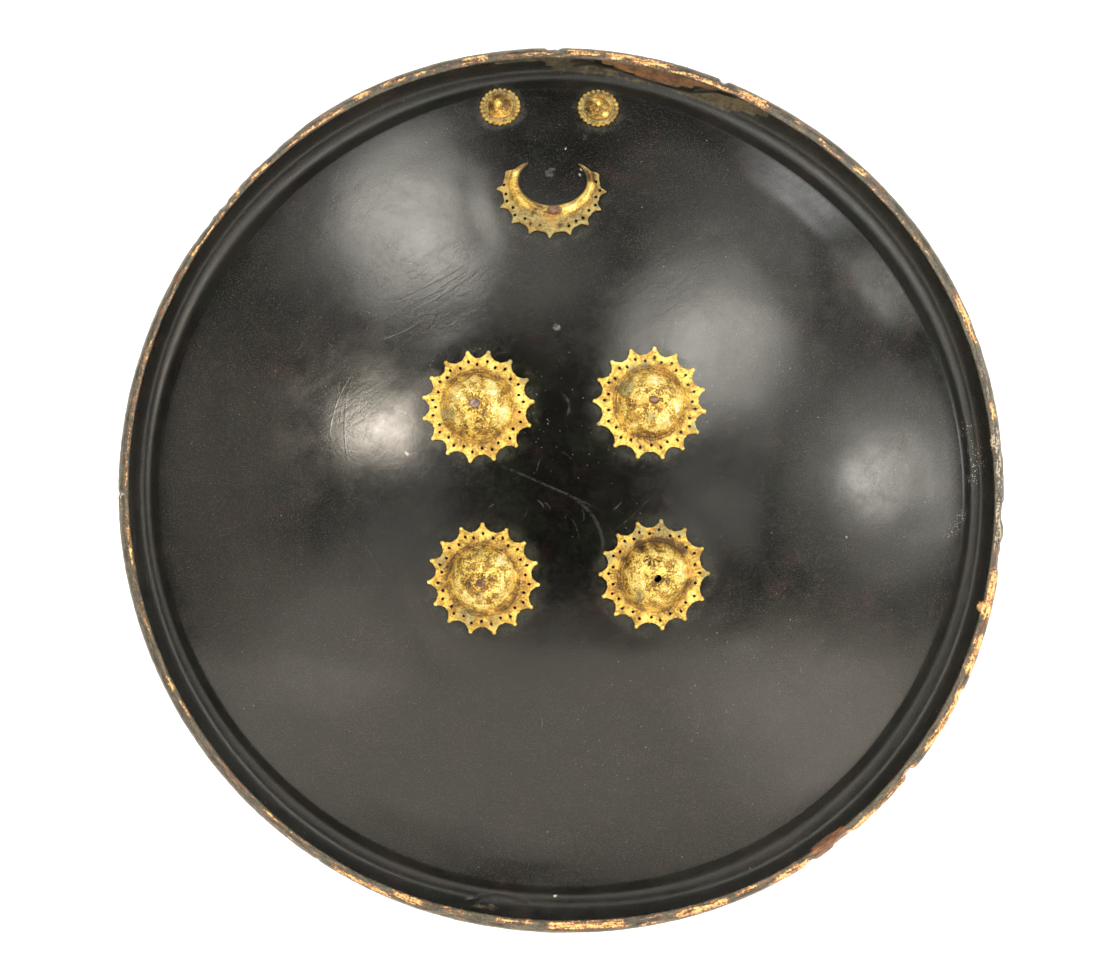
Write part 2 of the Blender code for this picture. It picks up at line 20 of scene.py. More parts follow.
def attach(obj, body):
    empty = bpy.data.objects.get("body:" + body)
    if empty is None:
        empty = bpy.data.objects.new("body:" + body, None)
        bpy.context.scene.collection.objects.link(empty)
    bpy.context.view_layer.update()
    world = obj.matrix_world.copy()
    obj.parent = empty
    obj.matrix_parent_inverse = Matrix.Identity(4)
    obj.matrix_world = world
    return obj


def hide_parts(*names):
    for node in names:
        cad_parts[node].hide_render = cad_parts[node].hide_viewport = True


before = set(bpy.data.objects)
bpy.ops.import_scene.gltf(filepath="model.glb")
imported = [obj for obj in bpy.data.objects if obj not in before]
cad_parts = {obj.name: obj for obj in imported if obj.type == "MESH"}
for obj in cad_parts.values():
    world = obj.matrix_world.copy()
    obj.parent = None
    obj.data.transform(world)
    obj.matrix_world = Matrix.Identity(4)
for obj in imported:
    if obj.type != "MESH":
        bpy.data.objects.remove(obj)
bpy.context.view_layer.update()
LOG = logging.getLogger("hide_shield")
MILLIMETRE = 0.001
MERGE = 0.000001
SEAT_GAP = 0.0003
CLENCH_GAP = 0.0006
PIN_SHANK = 0.0016
PIN_STAND = 0.0006
BORE_ROOM = 0.0003
WHITE = (1.0, 1.0, 1.0, 1.0)

Profile = list[tuple[float, float]]
Colour = tuple[float, float, float, float]
Place = tuple[float, float]


def tone(red: int, green: int, blue: int) -> Colour:
    """Turn a screen colour of 0 to 255 into the linear colour that a shader takes.

    Args:
        red: Red, 0 to 255.
        green: Green, 0 to 255.
        blue: Blue, 0 to 255.

    Returns:
        The linear colour with an alpha of 1.
    """
    parts = []
    for value in (red / 255, green / 255, blue / 255):
        parts.append(value / 12.92 if value <= 0.04045 else ((value + 0.055) / 1.055) ** 2.4)
    return (parts[0], parts[1], parts[2], 1.0)


class Metal(Enum):
    """The metals that a pin can be of."""

    IRON = "iron_pin"
    COPPER = "copper_pin"


class Wire:
    """A shader value that takes part in Python arithmetic and adds its Math nodes."""

    def __init__(self, graph: "Graph", socket: bpy.types.NodeSocket) -> None:
        """Wrap an output socket of a graph."""
        self.graph = graph
        self.socket = socket

    def _math(self, operation: str, first: "Wire | float", second: "Wire | float") -> "Wire":
        """Add one Math node and return its result."""
        return self.graph.node("ShaderNodeMath", {"operation": operation}, {0: first, 1: second})

    def __add__(self, other: "Wire | float") -> "Wire":
        """Return the sum."""
        return self._math("ADD", self, other)

    __radd__ = __add__

    def __sub__(self, other: "Wire | float") -> "Wire":
        """Return the difference."""
        return self._math("SUBTRACT", self, other)

    def __rsub__(self, other: float) -> "Wire":
        """Return a number less this value."""
        return self._math("SUBTRACT", other, self)

    def __mul__(self, other: "Wire | float") -> "Wire":
        """Return the product."""
        return self._math("MULTIPLY", self, other)

    __rmul__ = __mul__

    def __abs__(self) -> "Wire":
        """Return the distance from zero."""
        return self._math("ABSOLUTE", self, 0.0)

    def most(self, other: "Wire | float") -> "Wire":
        """Return the larger of two values."""
        return self._math("MAXIMUM", self, other)

    def ease(self, low: float, high: float) -> "Wire":
        """Rise smoothly from 0 at low to 1 at high, which may be the smaller of the two."""
        settings = {"interpolation_type": "SMOOTHSTEP"}
        return self.graph.node(
            "ShaderNodeMapRange", settings, {"Value": self, "From Min": low, "From Max": high}
        )


def largest(wires: Iterable[Wire]) -> Wire:
    """Return the largest of several values."""
    return reduce(Wire.most, wires)


class Graph:
    """The node graph of one material."""

    def __init__(self, name: str) -> None:
        """Start a material with a bare Principled shader."""
        self.material = bpy.data.materials.new(name)
        self.material.use_nodes = True
        self.tree = self.material.node_tree
        self.shader = self.tree.nodes["Principled BSDF"]

    def node(
        self,
        kind: str,
        settings: dict[str, object] | None = None,
        inputs: dict[int | str, object] | None = None,
        output: int | str = 0,
    ) -> Wire:
        """Add any node.

        Args:
            kind: The node's type.
            settings: What is set first, with a ramp's stops as "stops".
            inputs: Values or wires for its sockets, by name or number.
            output: The socket to return.

        Returns:
            The chosen output.
        """
        made = self.tree.nodes.new(kind)
        for key, value in (settings or {}).items():
            if key == "stops":
                self._set_stops(made.color_ramp, value)
            else:
                setattr(made, key, value)
        for key, value in (inputs or {}).items():
            self.feed(made.inputs[key], value)
        return Wire(self, made.outputs[output])

    def feed(self, socket: bpy.types.NodeSocket, value: object) -> None:
        """Link a wire to a socket, or set the socket's own value."""
        if isinstance(value, Wire):
            self.tree.links.new(value.socket, socket)
        else:
            socket.default_value = value

    @staticmethod
    def _set_stops(ramp: bpy.types.ColorRamp, stops: Sequence[tuple[float, Colour]]) -> None:
        """Give a ramp its stops."""
        while len(ramp.elements) < len(stops):
            ramp.elements.new(1.0)
        for element, (position, colour) in zip(ramp.elements, stops):
            element.position = position
            element.color = colour

    def place(self) -> Wire:
        """Return the place on the piece, in metres."""
        return self.node("ShaderNodeTexCoord", output="Object")

    def attribute(self, name: str) -> Wire:
        """Return a number kept on the mesh."""
        return self.node("ShaderNodeAttribute", {"attribute_name": name}, output="Fac")

    def vector(self, operation: str, first: object, second: object, output: int = 0) -> Wire:
        """Add one Vector Math node."""
        return self.node("ShaderNodeVectorMath", {"operation": operation}, {0: first, 1: second}, output)

    def away(self, place: Wire, spot: Place) -> Wire:
        """Return how far a flattened place is from a spot."""
        return self.vector("DISTANCE", place, (spot[0], spot[1], 0.0), 1)

    def shifted(self, place: Wire, across: Wire, up: Wire) -> Wire:
        """Shift a place by two values."""
        return self.vector("ADD", place, self.node("ShaderNodeCombineXYZ", None, {"X": across, "Y": up}))

    def cells(self, place: Wire, scale: float, feature: str, output: str = "Distance") -> Wire:
        """Add a texture of so many cells a metre."""
        inputs = {"Vector": place, "Scale": scale}
        return self.node("ShaderNodeTexVoronoi", {"feature": feature}, inputs, output)

    def channel(self, colour: Wire, name: str) -> Wire:
        """Return one channel of a colour."""
        return self.node("ShaderNodeSeparateColor", None, {"Color": colour}, name)

    def noise(self, place: Wire, scale: float, detail: float = 3.0, roughness: float = 0.55) -> Wire:
        """Add a noise of so many swells a metre."""
        inputs = {"Vector": place, "Scale": scale, "Detail": detail, "Roughness": roughness}
        return self.node("ShaderNodeTexNoise", None, inputs)

    def mix(self, share: Wire | float, first: object, second: object) -> Wire:
        """Blend two colours or wires, with the second showing by a share."""
        settings = {"data_type": "RGBA", "blend_type": "MIX"}
        return self.node("ShaderNodeMix", settings, {0: share, 6: first, 7: second}, 2)

    def ramp(self, share: Wire, stops: Sequence[tuple[float, Colour]]) -> Wire:
        """Colour a value by stops."""
        return self.node("ShaderNodeValToRGB", {"stops": stops}, {"Fac": share})

    def bump(self, height: Wire, strength: float, distance: float, normal: Wire | None = None) -> Wire:
        """Turn a height into a normal, on top of another normal if one is given."""
        inputs: dict[int | str, object] = {"Height": height, "Strength": strength, "Distance": distance}
        if normal is not None:
            inputs["Normal"] = normal
        return self.node("ShaderNodeBump", None, inputs)

    def finish(self, **inputs: object) -> bpy.types.Material:
        """Feed the Principled shader, its sockets named with underscores.

        Args:
            **inputs: Wires or constant values.

        Returns:
            The finished material.
        """
        for name, value in inputs.items():
            self.feed(self.shader.inputs[name.replace("_", " ")], value)
        return self.material


@dataclass(frozen=True)
class Portrait:
    """How the camera stands, and where a pixel of the picture falls on the shield."""

    width: float = 1100.0
    height: float = 967.0
    camera: tuple[float, float, float] = (-0.00715, 0.00436, 1.509)
    plane: float = 0.009
    metres_per_pixel: float = 0.0006326
    sensor: float = 36.0

    def lens(self) -> float:
        """Return the focal length in millimetres."""
        return self.sensor * (self.camera[2] - self.plane) / (self.width * self.metres_per_pixel)

    def at(self, across: float, down: float, height: float) -> Place:
        """Return the place under a pixel.

        Args:
            across: Pixel from the left.
            down: Pixel from the top.
            height: Height of the surface there, in metres.

        Returns:
            The place's x and y.
        """
        scale = (self.camera[2] - height) / (self.camera[2] - self.plane) * self.metres_per_pixel
        return (
            (across - self.width / 2) * scale + self.camera[0],
            (self.height / 2 - down) * scale + self.camera[1],
        )

    def pixels(self, places: np.ndarray) -> np.ndarray:
        """Return the pixel at which each place shows, one to a row."""
        scale = (self.camera[2] - places[:, 2]) / (self.camera[2] - self.plane) * self.metres_per_pixel
        across = (places[:, 0] - self.camera[0]) / scale + self.width / 2
        down = self.height / 2 - (places[:, 1] - self.camera[1]) / scale
        return np.stack([across, down], axis=1)


@dataclass(frozen=True)
class HideForm:
    """The moulded hide's sizes, and the shape of its face as numbers."""

    radius: float = 0.280
    crown_rise: float = 0.058
    cone_height: float = 0.105
    thickness: float = 0.005
    shoulder_inset: float = 0.0256
    shoulder_height: float = 0.0113
    gutter_inset: float = 0.0165
    lip_width: float = 0.0068
    lip_height: float = 0.0146
    edge_height: float = 0.009
    foot_outer_inset: float = 0.013
    foot_width: float = 0.0075
    band: float = 0.032
    edge_stray: tuple[float, ...] = (0.0, 0.4, -1.0, -0.2, 2.2, -0.1, 0.0, 0.2, 0.0, -0.2, 3.2, 4.4)
    gutter_stray: tuple[float, ...] = (0.5, 0.0, -2.4, 0.0, 2.4, 2.6, 0.0, 0.0, 0.5, -3.5, 4.0, 2.8)
    shoulder_stray: tuple[float, ...] = (0.5, -2.0, -4.0, 1.3, 0.0, -0.5, 1.6, 0.5, -1.0, -2.6, 1.0, 0.9)

    @property
    def shoulder(self) -> float:
        """Return the radius at which the dome ends."""
        return self.radius - self.shoulder_inset

    @property
    def gutter(self) -> float:
        """Return the radius of the bottom of the gutter."""
        return self.radius - self.gutter_inset

    @property
    def steepness(self) -> float:
        """Return the slope factor that brings the dome down to the shoulder."""
        full = self.crown_rise + self.cone_height
        return (full * full - self.cone_height * self.cone_height) / (self.shoulder * self.shoulder)

    def dome_height(self, reach: np.ndarray) -> np.ndarray:
        """Return the height of the face at nominal radii."""
        apex = self.shoulder_height + self.crown_rise + self.cone_height
        return apex - np.sqrt(self.cone_height**2 + self.steepness * np.square(reach))

    def dome_slope(self, reach: np.ndarray) -> np.ndarray:
        """Return the fall of the face per metre at nominal radii."""
        return self.steepness * reach / np.sqrt(self.cone_height**2 + self.steepness * np.square(reach))

    @staticmethod
    def read_stations(table: Sequence[float], angle: np.ndarray) -> np.ndarray:
        """Read a table of evenly spaced stations as a smooth closed curve.

        Args:
            table: A value for each station, from +X, anticlockwise.
            angle: Directions in radians.

        Returns:
            The value in each direction.
        """
        values = np.asarray(table, dtype=float)
        count = len(values)
        place = (angle % math.tau) / math.tau * count
        index = np.floor(place).astype(int)
        along = place - index
        before, start, end, after = (values[(index + step) % count] for step in (-1, 0, 1, 2))
        bend = (3 * (start - end) + after - before) * along
        bend = 2 * before - 5 * start + 4 * end - after + bend
        return start + 0.5 * along * (end - before + along * bend)

    def edge_shift(self, reach: np.ndarray, angle: np.ndarray) -> np.ndarray:
        """Return how far the hide strays outwards from true circles.

        Args:
            reach: Nominal radii.
            angle: Directions in radians.

        Returns:
            The stray in metres.
        """
        shoulder = self.read_stations(self.shoulder_stray, angle) * MILLIMETRE
        gutter = self.read_stations(self.gutter_stray, angle) * MILLIMETRE
        edge = self.read_stations(self.edge_stray, angle) * MILLIMETRE
        inner = np.clip(1 - (self.shoulder - reach) / self.band, 0, 1)
        wall = np.clip((reach - self.shoulder) / (self.gutter - self.shoulder), 0, 1)
        lip = np.clip((reach - self.gutter) / (self.radius - self.gutter), 0, 1)
        on_dome = shoulder * inner * inner * (3 - 2 * inner)
        in_gutter = shoulder * (1 - wall) + gutter * wall
        on_lip = gutter * (1 - lip) + edge * lip
        return np.where(reach <= self.shoulder, on_dome, np.where(reach <= self.gutter, in_gutter, on_lip))

    def face_height(self, x: np.ndarray, y: np.ndarray) -> np.ndarray:
        """Return the height of the dome's face over points, carried on past the shoulder."""
        reach = np.hypot(x, y)
        angle = np.arctan2(y, x)
        nominal = reach
        for _ in range(6):
            nominal = reach - self.edge_shift(np.minimum(nominal, self.shoulder), angle)
        return self.dome_height(nominal)

    def back_height(self, reach: float) -> float:
        """Return the height of the hide's back at a radius inside the resting ring."""
        turn = self.shoulder - 3 * self.thickness
        foot = self.radius - self.foot_outer_inset - self.foot_width
        face = min(reach, turn)
        slope = 0.0
        for _ in range(3):
            slope = float(self.dome_slope(face))
            face = min(reach, turn) + self.thickness * slope / math.hypot(1.0, slope)
        height = float(self.dome_height(face)) - self.thickness / math.hypot(1.0, slope)
        if reach <= turn:
            return height
        share = min(1.0, (reach - turn) / (foot - turn))
        bend = (share**3 - 2 * share**2 + share) * (foot - turn) * -slope
        return (2 * share**3 - 3 * share**2 + 1) * height + bend

    def polar_place(self, direction: float, inset: float) -> Place:
        """Return the place in a direction in degrees, at a distance in from the outer edge."""
        angle = math.radians(direction)
        return ((self.radius - inset) * math.cos(angle), (self.radius - inset) * math.sin(angle))

    def seat(self, x: float, y: float) -> Matrix:
        """Return the frame on the dome's face at a place, with Z along the face's normal."""
        reach = math.hypot(x, y)
        slope = float(self.dome_slope(reach))
        normal = Vector((slope * x / reach, slope * y / reach, 1.0)).normalized()
        across = Vector((1.0, 0.0, 0.0))
        across = (across - normal * across.dot(normal)).normalized()
        turn = Matrix((across, normal.cross(across), normal)).transposed().to_4x4()
        return Matrix.Translation((x, y, float(self.face_height(x, y)))) @ turn

    def bend_onto_face(self, local: np.ndarray, seat: Matrix, gap: float) -> np.ndarray:
        """Lay points given in a seat's frame onto the face.

        Args:
            local: Points in the seat's frame, one to a row.
            seat: The frame on the dome.
            gap: Height of local Z 0 over the face.

        Returns:
            The points in the shield's frame.
        """
        turn = np.array(seat.to_3x3())
        normal = turn[:, 2]
        foot = local[:, :2] @ turn[:, :2].T + np.array(seat.translation)
        for _ in range(5):
            depth = (foot[:, 2] - self.face_height(foot[:, 0], foot[:, 1])) / normal[2]
            foot = foot - depth[:, None] * normal
        return foot + (gap + local[:, 2])[:, None] * normal

    def hide_depth(self, seat: Matrix, reach: float) -> float:
        """Return how deep the hide goes along a seat's Z, within a reach of its centre."""
        outwards = Vector((seat.translation.x, seat.translation.y, 0.0)).normalized()
        normal = (seat.to_3x3() @ Vector((0.0, 0.0, 1.0))).normalized()
        deepest = 0.0
        for offset in (-reach, 0.0, reach):
            depth = self.thickness
            point = seat.translation
            for _ in range(6):
                point = seat.translation + outwards * offset - normal * depth
                depth += (point.z - self.back_height(math.hypot(point.x, point.y))) / normal.z
            deepest = max(deepest, (seat.translation - point).dot(normal))
        return deepest


FORM = HideForm()
PORTRAIT = Portrait()


class Bench:
    """Modelling steps that several pieces share."""

    @staticmethod
    def clear() -> None:
        """Let go of everything that is selected."""
        if bpy.context.object and bpy.context.object.mode != "OBJECT":
            bpy.ops.object.mode_set(mode="OBJECT")
        bpy.ops.object.select_all(action="DESELECT")

    @classmethod
    def pick(cls, pieces: Sequence[bpy.types.Object]) -> None:
        """Select pieces alone, the first of them active."""
        cls.clear()
        for piece in pieces:
            piece.select_set(True)
        bpy.context.view_layer.objects.active = pieces[0]

    @classmethod
    def turn(cls, name: str, profile: Profile, steps: int) -> bpy.types.Object:
        """Draw a profile by extruding one vertex, and spin it about Z.

        Args:
            name: The piece's name.
            profile: Radius and height of each point.
            steps: Divisions of the full turn.

        Returns:
            The turned piece.
        """
        cls.clear()
        bpy.ops.mesh.primitive_plane_add(size=profile[-1][0] + MILLIMETRE)
        piece = bpy.context.object
        piece.name = name
        bpy.ops.object.mode_set(mode="EDIT")
        bpy.ops.mesh.select_all(action="SELECT")
        bpy.ops.mesh.merge(type="CENTER")
        bpy.ops.transform.translate(value=(profile[0][0], 0.0, profile[0][1]))
        for (start, low), (end, high) in zip(profile, profile[1:]):
            step = {"value": (end - start, 0.0, high - low)}
            bpy.ops.mesh.extrude_region_move(TRANSFORM_OT_translate=step)
        bpy.ops.mesh.select_all(action="SELECT")
        bpy.ops.mesh.spin(steps=steps, angle=math.tau, center=(0.0, 0.0, 0.0), axis=(0.0, 0.0, 1.0))
        cls.close(piece)
        return piece

    @classmethod
    def sweep(cls, name: str, rings: Sequence[np.ndarray], around: bool) -> bpy.types.Object:
        """Extrude a ring of vertices through a row of shapes.

        Args:
            name: The piece's name.
            rings: The places of the ring's vertices at each stage.
            around: Whether the last stage is joined to the first.

        Returns:
            The swept piece, with its other open ends filled.
        """
        cls.clear()
        count = len(rings[0])
        bpy.ops.mesh.primitive_circle_add(vertices=count, radius=MILLIMETRE, fill_type="NOTHING")
        piece = bpy.context.object
        piece.name = name
        bpy.ops.object.mode_set(mode="EDIT")
        bpy.ops.mesh.select_all(action="SELECT")
        cls._set_last(piece, rings[0])
        for ring in list(rings[1:]) + ([rings[0]] if around else []):
            bpy.ops.mesh.extrude_region_move()
            cls._set_last(piece, ring)
        if not around:
            bpy.ops.mesh.select_all(action="DESELECT")
            bpy.ops.mesh.select_mode(type="EDGE")
            bpy.ops.mesh.select_non_manifold(extend=False)
            bpy.ops.mesh.edge_face_add()
            bpy.ops.mesh.select_mode(type="VERT")
        cls.close(piece)
        return piece

    @staticmethod
    def _set_last(piece: bpy.types.Object, places: np.ndarray) -> None:
        """Move the newest vertices of a piece in edit mode to their places."""
        work = bmesh.from_edit_mesh(piece.data)
        work.verts.ensure_lookup_table()
        first = len(work.verts) - len(places)
        for index, place in enumerate(places):
            work.verts[first + index].co = place
        bmesh.update_edit_mesh(piece.data, loop_triangles=False, destructive=False)

    @staticmethod
    def close(piece: bpy.types.Object) -> None:
        """Merge doubles, turn the faces outwards and leave edit mode."""
        bpy.ops.mesh.select_all(action="SELECT")
        bpy.ops.mesh.remove_doubles(threshold=MERGE)
        bpy.ops.mesh.normals_make_consistent(inside=False)
        bpy.ops.object.mode_set(mode="OBJECT")
        piece.data.name = piece.name

    @classmethod
    def drills(cls, places: Iterable[Vector], radius: float, length: float, sides: int) -> bpy.types.Object:
        """Make one cutter of many upright rods.

        Args:
            places: The middle of each rod.
            radius: Their radius.
            length: Their length.
            sides: Their number of sides.

        Returns:
            The cutter.
        """
        cls.clear()
        bpy.ops.mesh.primitive_cylinder_add(vertices=sides, radius=radius, depth=length)
        rod = bpy.context.object
        rods = [rod]
        places = list(places)
        for place in places[1:]:
            copy = rod.copy()
            copy.data = rod.data.copy()
            bpy.context.scene.collection.objects.link(copy)
            copy.data.transform(Matrix.Translation(place))
            rods.append(copy)
        rod.data.transform(Matrix.Translation(places[0]))
        return cls.join(rods)

    @classmethod
    def join(cls, pieces: Sequence[bpy.types.Object]) -> bpy.types.Object:
        """Make several meshes one object, the first."""
        cls.pick(pieces)
        if len(pieces) > 1:
            bpy.ops.object.join()
        return pieces[0]

    @classmethod
    def cut(cls, piece: bpy.types.Object, cutter: bpy.types.Object) -> None:
        """Cut a piece with a cutter and throw the cutter away."""
        cls.pick([piece])
        boolean = piece.modifiers.new("Holes", "BOOLEAN")
        boolean.operation = "DIFFERENCE"
        boolean.solver = "EXACT"
        boolean.object = cutter
        bpy.ops.object.modifier_apply(modifier=boolean.name)
        bpy.data.objects.remove(cutter)

    @staticmethod
    def places(piece: bpy.types.Object) -> np.ndarray:
        """Return the places of a mesh's vertices, one to a row."""
        flat = np.empty(len(piece.data.vertices) * 3)
        piece.data.vertices.foreach_get("co", flat)
        return flat.reshape(-1, 3)

    @staticmethod
    def move(piece: bpy.types.Object, places: np.ndarray) -> None:
        """Move a mesh's vertices."""
        piece.data.vertices.foreach_set("co", places.reshape(-1))
        piece.data.update()

    @staticmethod
    def mark(piece: bpy.types.Object, name: str, values: np.ndarray) -> None:
        """Keep a number for each vertex, for the finish to read."""
        layer = piece.data.attributes.new(name, "FLOAT", "POINT")
        layer.data.foreach_set("value", np.asarray(values, dtype=np.float32))

    @classmethod
    def tint(
        cls, piece: bpy.types.Object, lift: np.ndarray, carved: np.ndarray, dulled: np.ndarray | float = 0.0
    ) -> None:
        """Mark a finished mount with the patches of the gilding that fall on it.

        Args:
            piece: The mount, in its place.
            lift: How much lighter than usual each vertex is, painted shade and painted highlight included.
            carved: How richly each vertex is engraved, 0 to 1.
            dulled: How far the gilding is gone at each vertex, 0 to 1.
        """
        places = cls.places(piece)
        pixels = PORTRAIT.pixels(places)
        pixels[:, 0] += swell(places, 95.0, 31.0) * 3.0 + swell(places, 210.0, 32.0) * 2.2
        pixels[:, 1] += swell(places, 95.0, 33.0) * 3.0 + swell(places, 210.0, 34.0) * 2.2
        covers = {tint: np.zeros(len(pixels)) for tint in Tint}
        for patch in GILT_PATCHES:
            covers[patch.tint] = np.maximum(covers[patch.tint], patch.cover(pixels))
        covers[Tint.GREEN] = np.maximum(covers[Tint.GREEN], dulled)
        for tint, cover in covers.items():
            cls.mark(piece, tint.value, cover)
        cls.mark(piece, "lift", lift)
        cls.mark(piece, "carved", carved)

    @staticmethod
    def near_holes(local: np.ndarray, holes: Sequence[Vector], radius: float) -> np.ndarray:
        """Return 1 on the walls of drilled holes and 0 elsewhere."""
        close = np.zeros(len(local))
        for hole in holes:
            away = np.hypot(local[:, 0] - hole.x, local[:, 1] - hole.y)
            close = np.maximum(close, away < radius * 1.04)
        return close

    @classmethod
    def smooth(cls, piece: bpy.types.Object, angle: float) -> None:
        """Shade a piece smooth, but for edges sharper than an angle in degrees."""
        cls.pick([piece])
        bpy.ops.object.shade_smooth_by_angle(angle=math.radians(angle))

    @staticmethod
    def hand_in(piece: bpy.types.Object, node: str, slot: str, material: bpy.types.Material) -> None:
        """Dress a piece and put it in place of its CAD node.

        Args:
            piece: The finished piece.
            node: The CAD node that it stands for.
            slot: The record's material slot; not used.
            material: Its finish.
        """
        piece.data.materials.clear()
        piece.data.materials.append(material)
        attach(piece, "root")
        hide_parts(node)
        triangles = sum(len(face.vertices) - 2 for face in piece.data.polygons)
        LOG.info("%s stands for %s, %d triangles", piece.name, node, triangles)


def swell(places: np.ndarray, scale: float, seed: float) -> np.ndarray:
    """Return a smooth noise between about -1 and 1 at each place.

    Args:
        places: Places in metres, one to a row.
        scale: Swells to the metre.
        seed: Shifts the noise, so that each use differs.

    Returns:
        The noise.
    """
    shift = Vector((seed * 7.31, seed * 3.77, seed * 1.93))
    return np.array([noise.noise(Vector(place) * scale + shift) for place in places])


def ease(value: np.ndarray, low: float, high: float) -> np.ndarray:
    """Rise smoothly from 0 at low to 1 at high."""
    share = np.clip((value - low) / (high - low), 0.0, 1.0)
    return share * share * (3 - 2 * share)


def cap_section(base: float, rise: float, top: float, foot: float, steps: int) -> Profile:
    """Return a round cap's section from its top down to its foot.

    Args:
        base: Radius at the foot.
        rise: Height of the whole cap over the foot.
        top: Radius at which the section starts.
        foot: Height of the foot.
        steps: Divisions from top to foot.

    Returns:
        Radius and height of each point.
    """
    sphere = (base**2 + rise**2) / (2 * rise)
    start = math.asin(min(1.0, top / sphere))
    end = math.atan2(base, sphere - rise)
    section = []
    for index in range(steps + 1):
        angle = start + (end - start) * index / steps
        section.append((sphere * math.sin(angle), foot + rise - sphere + sphere * math.cos(angle)))
    return section


@dataclass(frozen=True)
class Scratch:
    """A thin curved scratch in the lacquer, by three pixels of the picture along it."""

    start: Place
    middle: Place
    end: Place
    width: float = 0.45
    strength: float = 0.6

    def circle(self) -> tuple[Place, float, Place, float]:
        """Return the circle through the three points.

        Returns:
            Its centre and radius, the middle of the scratch, and half the scratch's length.
        """
        first, second, third = (self.on_dome(point) for point in (self.start, self.middle, self.end))
        ax, ay = first
        bx, by = second
        cx, cy = third
        twice = 2 * (ax * (by - cy) + bx * (cy - ay) + cx * (ay - by))
        squares = [x * x + y * y for x, y in (first, second, third)]
        x = (squares[0] * (by - cy) + squares[1] * (cy - ay) + squares[2] * (ay - by)) / twice
        y = (squares[0] * (cx - bx) + squares[1] * (ax - cx) + squares[2] * (bx - ax)) / twice
        middle = ((ax + cx) / 2, (ay + cy) / 2)
        half = math.hypot(cx - ax, cy - ay) / 2
        return (x, y), math.hypot(ax - x, ay - y), middle, half

    @staticmethod
    def on_dome(pixel: Place) -> Place:
        """Return the place on the dome under a pixel."""
        place = PORTRAIT.at(pixel[0], pixel[1], 0.05)
        for _ in range(4):
            place = PORTRAIT.at(pixel[0], pixel[1], float(FORM.face_height(*place)))
        return place


class Wear(Enum):
    """What shows where the rim is worn, and the pale painted highlight along the arris."""

    GOLD = "gold"
    COPPER = "copper"
    PALE = "pale"
    BARE = "bare"
    OLIVE = "olive"


@dataclass(frozen=True)
class WornPatch:
    """A patch of the rim, worn or painted pale as a highlight along the arris, between two directions in
    degrees and two distances in, in millimetres.
    """

    wear: Wear
    start: float
    end: float
    outer: float
    inner: float
    strength: float = 1.0

    def cover(self, direction: np.ndarray, inset: np.ndarray) -> np.ndarray:
        """Return how far the patch covers places, 0 to 1.

        Args:
            direction: Directions in degrees, 0 to 360.
            inset: Distances in from the outer edge, in millimetres.

        Returns:
            The cover, soft at the patch's ends.
        """
        half = (self.end - self.start) / 2
        away = np.abs((direction - self.start - half + 180) % 360 - 180)
        soft = min(1.4, half * 0.8)
        along = ease(away, half + soft * 0.4, half - soft * 0.6)
        across = ease(inset, self.outer - 0.7, self.outer + 0.7)
        across = across * ease(inset, self.inner + 0.8, self.inner - 0.7)
        return along * across * self.strength


@dataclass(frozen=True)
class Notch:
    """A small piece broken out of the outer edge, its width in degrees and its depth in millimetres."""

    direction: float
    half_width: float
    depth: float

    def bite(self, direction: np.ndarray) -> np.ndarray:
        """Return the depth of the notch in each direction, in millimetres."""
        away = np.abs((direction - self.direction + 180) % 360 - 180)
        return self.depth * ease(away, self.half_width, self.half_width * 0.45)


RIM_GOLD = (
    (9.0, 11.8, 2.0, 5.2), (19.4, 26.4, 1.2, 5.2), (31.5, 45.0, 5.4, 6.6, 0.75), (45.8, 48.0, 1.8, 5.2),
    (49.6, 53.2, 4.2, 6.4, 0.7), (52.6, 53.8, 3.0, 5.0, 0.8), (57.0, 57.9, 2.0, 4.2, 0.8),
    (61.3, 65.8, 1.4, 6.6), (66.5, 75.8, 3.4, 6.4, 0.85), (75.6, 84.2, 1.6, 5.6), (84.8, 89.3, 1.8, 5.0),
    (91.0, 98.0, 3.4, 5.6, 0.6), (99.6, 103.0, 1.4, 5.6), (104.2, 105.4, 3.0, 5.2, 0.75),
    (106.0, 110.0, 3.4, 5.6, 0.6), (110.4, 114.2, 1.8, 5.2, 0.85), (115.5, 118.0, 1.4, 5.2),
    (119.8, 128.8, 3.8, 6.2, 0.85), (131.3, 135.2, 3.0, 6.2), (137.0, 138.2, 2.0, 5.0, 0.8),
    (138.5, 147.2, 4.8, 6.6, 0.9), (145.8, 147.8, 3.2, 6.0, 0.85), (148.0, 158.0, 5.4, 6.6, 0.55),
    (158.0, 180.0, 5.0, 6.6, 0.75), (183.0, 190.2, 4.6, 6.6, 0.9), (191.0, 200.0, 5.2, 6.6, 0.5),
    (205.0, 207.4, 3.8, 6.0, 0.8), (208.0, 212.5, 5.4, 6.6, 0.75), (213.0, 226.0, 5.8, 6.6, 0.5),
    (227.0, 229.4, 4.8, 6.6), (229.0, 240.0, 5.6, 6.6, 0.7), (238.3, 247.2, 1.0, 3.6, 0.9),
    (247.0, 251.8, 3.0, 6.8), (252.0, 257.2, 5.0, 6.6, 0.8), (261.0, 266.0, 4.4, 6.6, 0.9),
    (268.0, 278.6, 2.4, 6.6), (279.5, 284.0, 0.6, 2.6, 0.65), (281.5, 283.6, 4.6, 6.4, 0.7),
    (285.0, 292.4, 1.4, 5.8), (293.0, 296.8, 4.0, 6.6, 0.9), (298.3, 304.0, 0.8, 5.2),
    (309.5, 315.0, 0.2, 3.4, 0.9), (315.0, 322.6, 0.2, 3.4, 0.75), (324.0, 334.2, 0.2, 4.0, 0.9),
    (335.3, 341.2, 0.4, 5.2), (342.8, 350.0, 0.8, 6.0), (344.0, 345.4, 5.0, 9.0),
)
